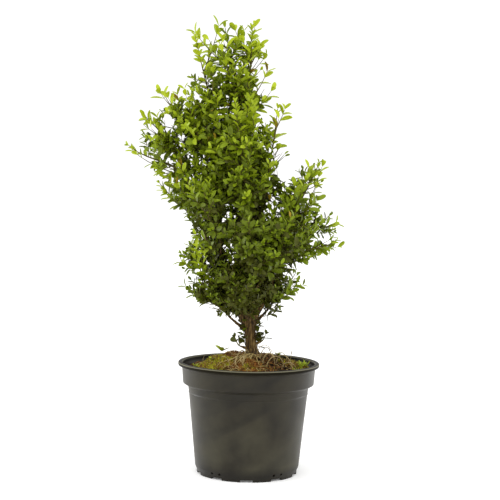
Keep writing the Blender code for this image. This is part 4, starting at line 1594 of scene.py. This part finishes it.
    def dress(self, line: Line, bare: float, slack: float, dim: float = 0.0, bold: bool = False) -> int:
        """Sets pairs of leaves on a shoot, each pair square to the last.

        Args:
            line: The shoot's points.
            bare: The share of the shoot that has no leaves.
            slack: How far the crown's outline is let out here, in metres.
            dim: How much more painted shade the leaves get than their place gives them.
            bold: Whether the leaves are full-sized and spread to the shoot's very tip.

        Returns:
            How many leaves were set.
        """
        rng = self.rng
        real = self.leaf > 0.5
        size = (0.62 + 0.38 * self.leaf) * rng.uniform(0.88, 1.12) if real else 0.9
        size *= 0.92 + 0.24 * clamp((line[-1].z - 0.3) / 0.4)
        size *= 1.02 if bold else 0.87
        spacing = self.pair_spacing * (1.12 if bold else 1.0 if real else 0.8)
        pairs = max(round(length_of(line) * (1 - bare) / (spacing * size)), 1)
        turn = rng.uniform(0, math.pi)
        bright = self.tone_of(line[-1]) - dim
        loose = 0.5 if bold else 1.0
        made = 0
        for pair in range(pairs + 1):
            t = (pair / pairs) ** (0.8 if bold else 1.0)
            node, way = at_share(line, bare + (1 - bare) * t)
            out = square_to(way, turn + pair * math.pi / 2 + rng.gauss(0, 0.15))
            lean = math.radians(self.leaf_lean - (20 if bold else 28) * t**1.6)
            grown = size * (1.06 - (0.24 if bold else 0.42) * t**3)
            for sign in (1, -1):
                tilt = lean + rng.gauss(0, 0.13 * loose)
                long = way * math.cos(tilt) + out * math.sin(tilt) * sign
                up = way * math.sin(tilt) - out * math.cos(tilt) * sign
                up.rotate(Matrix.Rotation(rng.gauss(0, 0.3 * loose), 3, long))
                across = long.cross(up)
                reach = self.leaf_length * grown * rng.uniform(0.9, 1.1)
                middle = node + long * reach * 0.6
                skirt = self.skirt_height - self.skirt_slope * math.hypot(middle.x, middle.y)
                if real and middle.z < skirt:
                    continue
                if self.crown_share(node + long * reach, slack) > 1:
                    continue
                if not self.off_limbs(middle) or self.in_gap(middle):
                    continue
                wide = reach * (self.leaf_width if real else self.sprout_width) * rng.uniform(0.9, 1.1)
                place = Matrix.Translation(node) @ Matrix((across, long, up)).transposed().to_4x4()
                # Leaves further out along the shoot get more painted light.
                tone = self.pick_tone(bright + 0.16 * t * t)
                self.leaves[tone].append(place @ Matrix.Diagonal((wide, reach, reach, 1)))
                made += 1
        return made

    def twig(
        self, plume: Plume, start: Vector, way: Vector, share: float, turn: float, stretch: float
    ) -> Line:
        """Draws a side twig by the source's rule: shorter and more upright towards the tip.

        Args:
            plume: The plume.
            start: Where it leaves the stem.
            way: The stem's direction there.
            share: How far along the stem that is.
            turn: Its turn about the stem, in radians.
            stretch: Its length as a share of the full one.

        Returns:
            Its points.
        """
        lean = math.radians(self.twig_lean - 22 * share)
        swell = math.sin(math.pi * (0.25 + 0.62 * share))
        length = max(plume.width * MM * swell / math.sin(lean), self.least_twig) * stretch
        first = (way * math.cos(lean) + square_to(way, turn) * math.sin(lean)).normalized()
        return bezier(start, first, start + raised(first, 0.12) * length, raised(first, 0.35), 5)

    def left_out(self, point: Vector) -> bool:
        """Tells whether a shoot is left out, so that the rim lets the sky through.

        Args:
            point: Where the shoot would end.

        Returns:
            Whether it is.
        """
        side = self.crown_share(point, 0.0, 0.5)
        rim = clamp((max(side, (point.z - 0.53) / 0.19) - 0.45) / 0.42)
        return self.rng.random() < self.thinning * rim

    def side_shoots(self, twig: Line, shares: Sequence[float], slack: float) -> None:
        """Grows short shoots out of a twig, to either side in turn.

        Args:
            twig: The twig's points.
            shares: How far along the twig each may stand.
            slack: How far the crown's outline is let out, in metres.
        """
        rng = self.rng
        length = (twig[-1] - twig[0]).length
        turn = rng.uniform(0, math.tau)
        for share in shares:
            if length < self.bearing_twig or rng.random() < 0.22:
                continue
            start, way = at_share(twig, share)
            turn += math.pi + rng.uniform(-0.7, 0.7)
            lean = math.radians(rng.uniform(35, 52))
            first = way * math.cos(lean) + square_to(way, turn) * math.sin(lean)
            reach = rng.uniform(0.4, 0.75) * length * (1.1 - share)
            end = start + raised(first, 0.2) * max(reach, self.least_shoot)
            if self.crown_share(end, slack) > 1 or not self.off_limbs(end):
                continue
            if self.in_gap(end) or self.left_out(end):
                continue
            line = bezier(start, first, end, raised(first, 0.5), 4)
            if self.dress(line, 0.25, slack):
                self.twigs.append((line, [0.55 * MM, 0.5 * MM, 0.42 * MM, 0.3 * MM]))

    def leader(self, start: Vector, way: Vector, turn: float, length: float) -> Line:
        """Draws a leader, a long shoot that leaves its stem and then runs up beside it.

        Args:
            start: Where it leaves the stem.
            way: The stem's direction there.
            turn: Its turn about the stem, in radians.
            length: Its length in metres.

        Returns:
            Its points.
        """
        lean = math.radians(self.rng.uniform(30, 46))
        first = way * math.cos(lean) + square_to(way, turn) * math.sin(lean)
        end = start + (way + first * 1.1).normalized() * length
        return bezier(start, first, end, raised(first * 0.45 + way, 0.2), 7)

    def grow_leaders(self, plume: Plume, stem: Line) -> None:
        """Grows a plume's leaders, which make its outline ragged with single shoots.

        Args:
            plume: The plume.
            stem: Its stem.
        """
        rng = self.rng
        length = length_of(stem)
        turn = rng.uniform(0, math.tau)
        for i in range(self.leaders):
            share = 0.12 + 0.5 * i / self.leaders
            start, way = at_share(stem, share)
            turn += math.radians(GOLDEN_ANGLE)
            slack = rng.uniform(-6, 3) * MM
            if self.left_out(start.lerp(stem[-1], 0.7)):
                continue
            for attempt in range(self.tries * len(self.leader_cuts)):
                cut = self.leader_cuts[attempt // self.tries]
                reach = length * (1.05 - share) * cut * rng.uniform(0.7, 1.0)
                line = self.leader(start, way, turn + attempt * self.retry_turn, reach)
                free = all(self.off_limbs(p) for p in line[1:])
                if free and all(
                    self.crown_share(p, slack - 7 * MM) <= 1 and self.in_space(plume, p, 9 * MM)
                    for p in (line[3], line[6])
                ):
                    self.dress(line, 0.25, slack)
                    self.twigs.append((line, [(1.3 - 0.95 * j / 6) * MM for j in range(7)]))
                    self.side_shoots(line, (0.2, 0.38, 0.56), slack)
                    break

    def fits(self, plume: Plume, twig: Line, slack: float) -> bool:
        """Tells whether a side twig has room.

        Args:
            plume: The plume.
            twig: The twig's points.
            slack: How far the crown's outline is let out, in metres.

        Returns:
            Whether it has.
        """
        for point in (twig[2], twig[4]):
            if self.crown_share(point, slack - 6 * MM) > 1 or self.in_gap(point):
                return False
            if not self.in_space(plume, point, 4 * MM) or not self.in_plume(plume, point):
                return False
        return all(self.off_limbs(point) for point in twig[1:])

    def grow(self, plume: Plume) -> None:
        """Grows one plume: its stem, side twigs that turn round it, and their shoots.

        Args:
            plume: The plume.
        """
        self.rng, self.leaf = random.Random(plume.name), plume.leaf
        stem = self.stems[plume.name]
        foot = self.wood.radii[plume.limb][-1]
        self.twigs.append((stem, [foot + (0.5 * MM - foot) * i / 7 for i in range(8)]))
        self.dress(stem, 0.5, 9 * MM)
        if plume.leaf > 0.5:
            self.grow_leaders(plume, stem)
        turn = self.rng.uniform(0, math.tau)
        count = max(round(plume.twigs * self.twig_share), 3)
        for i in range(count):
            share = 0.03 + 0.75 * i / (count - 1)
            turn += math.radians(GOLDEN_ANGLE)
            start, way = at_share(stem, share)
            slack = self.rng.uniform(-10, 2) * MM
            for attempt in range(self.tries * len(self.twig_cuts)):
                stretch = self.twig_cuts[attempt // self.tries]
                twig = self.twig(plume, start, way, share, turn + attempt * self.retry_turn, stretch)
                if attempt == 0 and self.left_out(twig[4]):
                    break
                if self.fits(plume, twig, slack):
                    self.dress(twig, 0.22, slack)
                    self.twigs.append((twig, [1.1 * MM, 0.95 * MM, 0.8 * MM, 0.65 * MM, 0.4 * MM]))
                    self.side_shoots(twig, (0.22, 0.42, 0.6), slack)
                    break

    def root_of(self, tip: Vector) -> tuple[Plume, Vector, Vector]:
        """Finds where on a plume's stem a shoot to a tip would leave.

        Args:
            tip: The shoot's tip.

        Returns:
            The plume, the place on its stem and the stem's direction there.
        """
        best, found = math.inf, None
        for plume in PLUMES:
            for step in range(12 if plume.leaf > 0.5 else 0):
                foot, way = at_share(self.stems[plume.name], 0.06 + 0.06 * step)
                reach = tip - foot
                cost = abs(math.degrees(way.angle(reach)) - 30) / 9 + reach.length / (50 * MM)
                if cost < best and reach.length > self.least_reach:
                    best, found = cost, (plume, foot, way)
        return found

    def grow_shoots(self) -> None:
        """Grows the single shoots that stand out of the crown, each to its own tip."""
        self.rng = random.Random("shoots")
        for tip in (leaning(point) for point in SHOOTS):
            plume, foot, way = self.root_of(tip)
            self.leaf = plume.leaf
            reach = (tip - foot).normalized()
            last = raised(reach, 0.3)
            line = bezier(foot, raised(reach * 1.6 - way * 0.3, 0.1), tip - last * self.tip_leaf, last, 8)
            rim = self.crown_share(tip, 0.0, 0.3) > 0.6 or tip.z > 0.62
            # Shoots at the crown's rim and top get a little more painted light.
            self.dress(line, 0.15, 22 * MM, -0.08 if rim else 0.0, rim)
            self.twigs.append((line, [(1.2 - 0.12 * i) * MM for i in range(8)]))
            self.side_shoots(line, (0.15, 0.4), 0.0)

    def fill_inside(self) -> None:
        """Grows short shoots out of the boughs and trunk, in painted shade, which hide the crown's
        inside.
        """
        self.rng, self.leaf = random.Random("inside"), 0.62
        draw = self.rng.uniform
        lines = [line for name, line in self.wood.lines.items() if not name.startswith("shoot")]
        lines += [stem[:6] for name, stem in self.stems.items() if not name.startswith("sprig")]
        for line in lines:
            low = 2 if line[0].z < 0.27 else 1
            for _ in range(round(low * length_of(line) / (4.5 * MM))):
                start, way = at_share(line, self.rng.random() ** low)
                if start.z < 0.252:
                    continue
                out = square_to(way, draw(0, math.tau))
                first = (out + way * draw(0.3, 0.9)).normalized()
                end = start + raised(first, 0.3) * draw(18, 42) * MM
                if self.crown_share(end, 0.0) > 1 or not self.off_limbs(end):
                    continue
                shoot = bezier(start, first, end, raised(first, 0.6), 4)
                # Their leaves get extra painted shade.
                self.dress(shoot, 0.3, 4 * MM, 0.12)
                self.twigs.append((shoot, [0.8 * MM, 0.65 * MM, 0.5 * MM, 0.35 * MM]))

    def sprout_trunk(self) -> None:
        """Grows the small sprouts that hug the trunk between the compost and the fork."""
        self.rng, self.leaf = random.Random("sprouts"), 0.4
        for turn, height in SPROUTS:
            start = min(self.wood.drawn["trunk"], key=lambda p: abs(p.z - height * MM))
            out = Vector((math.cos(math.radians(turn)), math.sin(math.radians(turn)), 0.0))
            foot = start + out * (TRUNK_RADIUS * 0.8)
            end = foot + raised(out * 0.3, 1) * self.rng.uniform(12, 20) * MM
            line = bezier(foot, raised(out, 0.9), end, Vector((0, 0, 1)), 4)
            # The sprouts' leaves get more painted light than their low place gives.
            self.dress(line, 0.1, 9 * MM, self.rng.choice((-0.3, -0.6)))
            self.twigs.append((line, [0.7 * MM, 0.6 * MM, 0.5 * MM, 0.3 * MM]))

    def build(self) -> None:
        """Builds the twigs and the leaves, each kind and colour as one piece."""
        for plume in PLUMES:
            self.grow(plume)
        self.grow_shoots()
        self.fill_inside()
        self.sprout_trunk()
        masses = [plume.name for plume in PLUMES]
        twigs = drawn_limbs("green_twigs", self.twigs, 0)
        bark = Earthy("young twig bark", ("#3d3515", "#565020", "#77703a"), 12 * MM, roughness=0.7)
        declare(twigs, 75, [bark], masses)
        leaf = blade()
        for tone, places in self.leaves.items():
            if places:
                name = tone.name.lower()
                above = LeafSkin(f"{name} boxwood leaf, above", tone.value[0])
                beneath = LeafSkin(f"{name} boxwood leaf, beneath", tone.value[1], 0.6)
                declare(copies(f"leaves_{name}", leaf, places), 50, [above, beneath], masses)
        bpy.data.objects.remove(leaf)


@dataclass
class Studio:
    """The pale floor, the soft lights and the camera."""

    aside: float = -1.7 * MM
    tilt: float = 2.63
    roll: float = 1.15
    lens: float = 89.3
    world: float = 1.12
    sun: float = 0.7
    aim: Point = (0, 0, 0.35)

    def softbox(self, name: str, place: Point, size: float, power: float) -> Object:
        """Hangs a square soft light that faces the plant.

        Args:
            name: The light's name.
            place: Where it hangs, in metres.
            size: Its side in metres.
            power: Its power in watts.

        Returns:
            The light's object.
        """
        light = bpy.data.lights.new(name, "AREA")
        light.shape = "SQUARE"
        light.size = size
        light.energy = power
        obj = new_object(light)
        obj.location = place
        obj.rotation_euler = (Vector(self.aim) - Vector(place)).to_track_quat("-Z", "Y").to_euler()
        return obj

    def camera(self) -> None:
        """Sets the camera up where the photograph was taken from."""
        camera = bpy.data.cameras.new("camera")
        camera.lens = self.lens
        camera.sensor_width = 36
        obj = new_object(camera)
        obj.location = (self.aside, -VIEW_DISTANCE, VIEW_HEIGHT)
        level = Matrix.Rotation(math.radians(90 - self.tilt), 3, "X")
        obj.rotation_euler = (level @ Matrix.Rotation(math.radians(self.roll), 3, "Z")).to_euler()
        bpy.context.scene.camera = obj

    def build(self) -> None:
        """Builds the studio."""
        self.camera()
        floor = primitive(bpy.ops.mesh.primitive_plane_add, size=40)
        floor.name = "studio_floor"
        floor.data.materials.append(LitFloor().make())
        scene = bpy.context.scene
        scene.world = scene.world or bpy.data.worlds.new("studio")
        scene.world.use_nodes = True
        sky = {"Color": (1, 1, 1, 1), "Strength": self.world}
        feed(scene.world.node_tree.nodes["Background"], sky)
        sun = bpy.data.lights.new("overhead_softbox", "SUN")
        sun.angle = math.radians(60)
        sun.energy = self.sun
        new_object(sun).rotation_euler = (math.radians(24), math.radians(-12), 0)
        self.softbox("left_softbox", (-1.9, -0.6, 1.1), 1.1, 10)
        self.softbox("right_softbox", (1.9, -0.4, 1.0), 1.0, 8)
        self.softbox("left_sheen", (-1.7, 0.9, 0.35), 1.0, 19).visible_diffuse = False
        self.softbox("right_sheen", (1.7, 0.9, 0.35), 1.0, 12).visible_diffuse = False
        scene.view_settings.view_transform = "Standard"


def main() -> None:
    """Builds the studio and the plant, piece by piece."""
    logging.basicConfig(level=logging.INFO, format="%(message)s")
    Studio().build()
    Pot().build()
    ground = Ground()
    ground.build()
    Moss(ground).build()
    wood = Wood()
    wood.build()
    Foliage(wood).build()


if __name__ == "__main__":
    main()
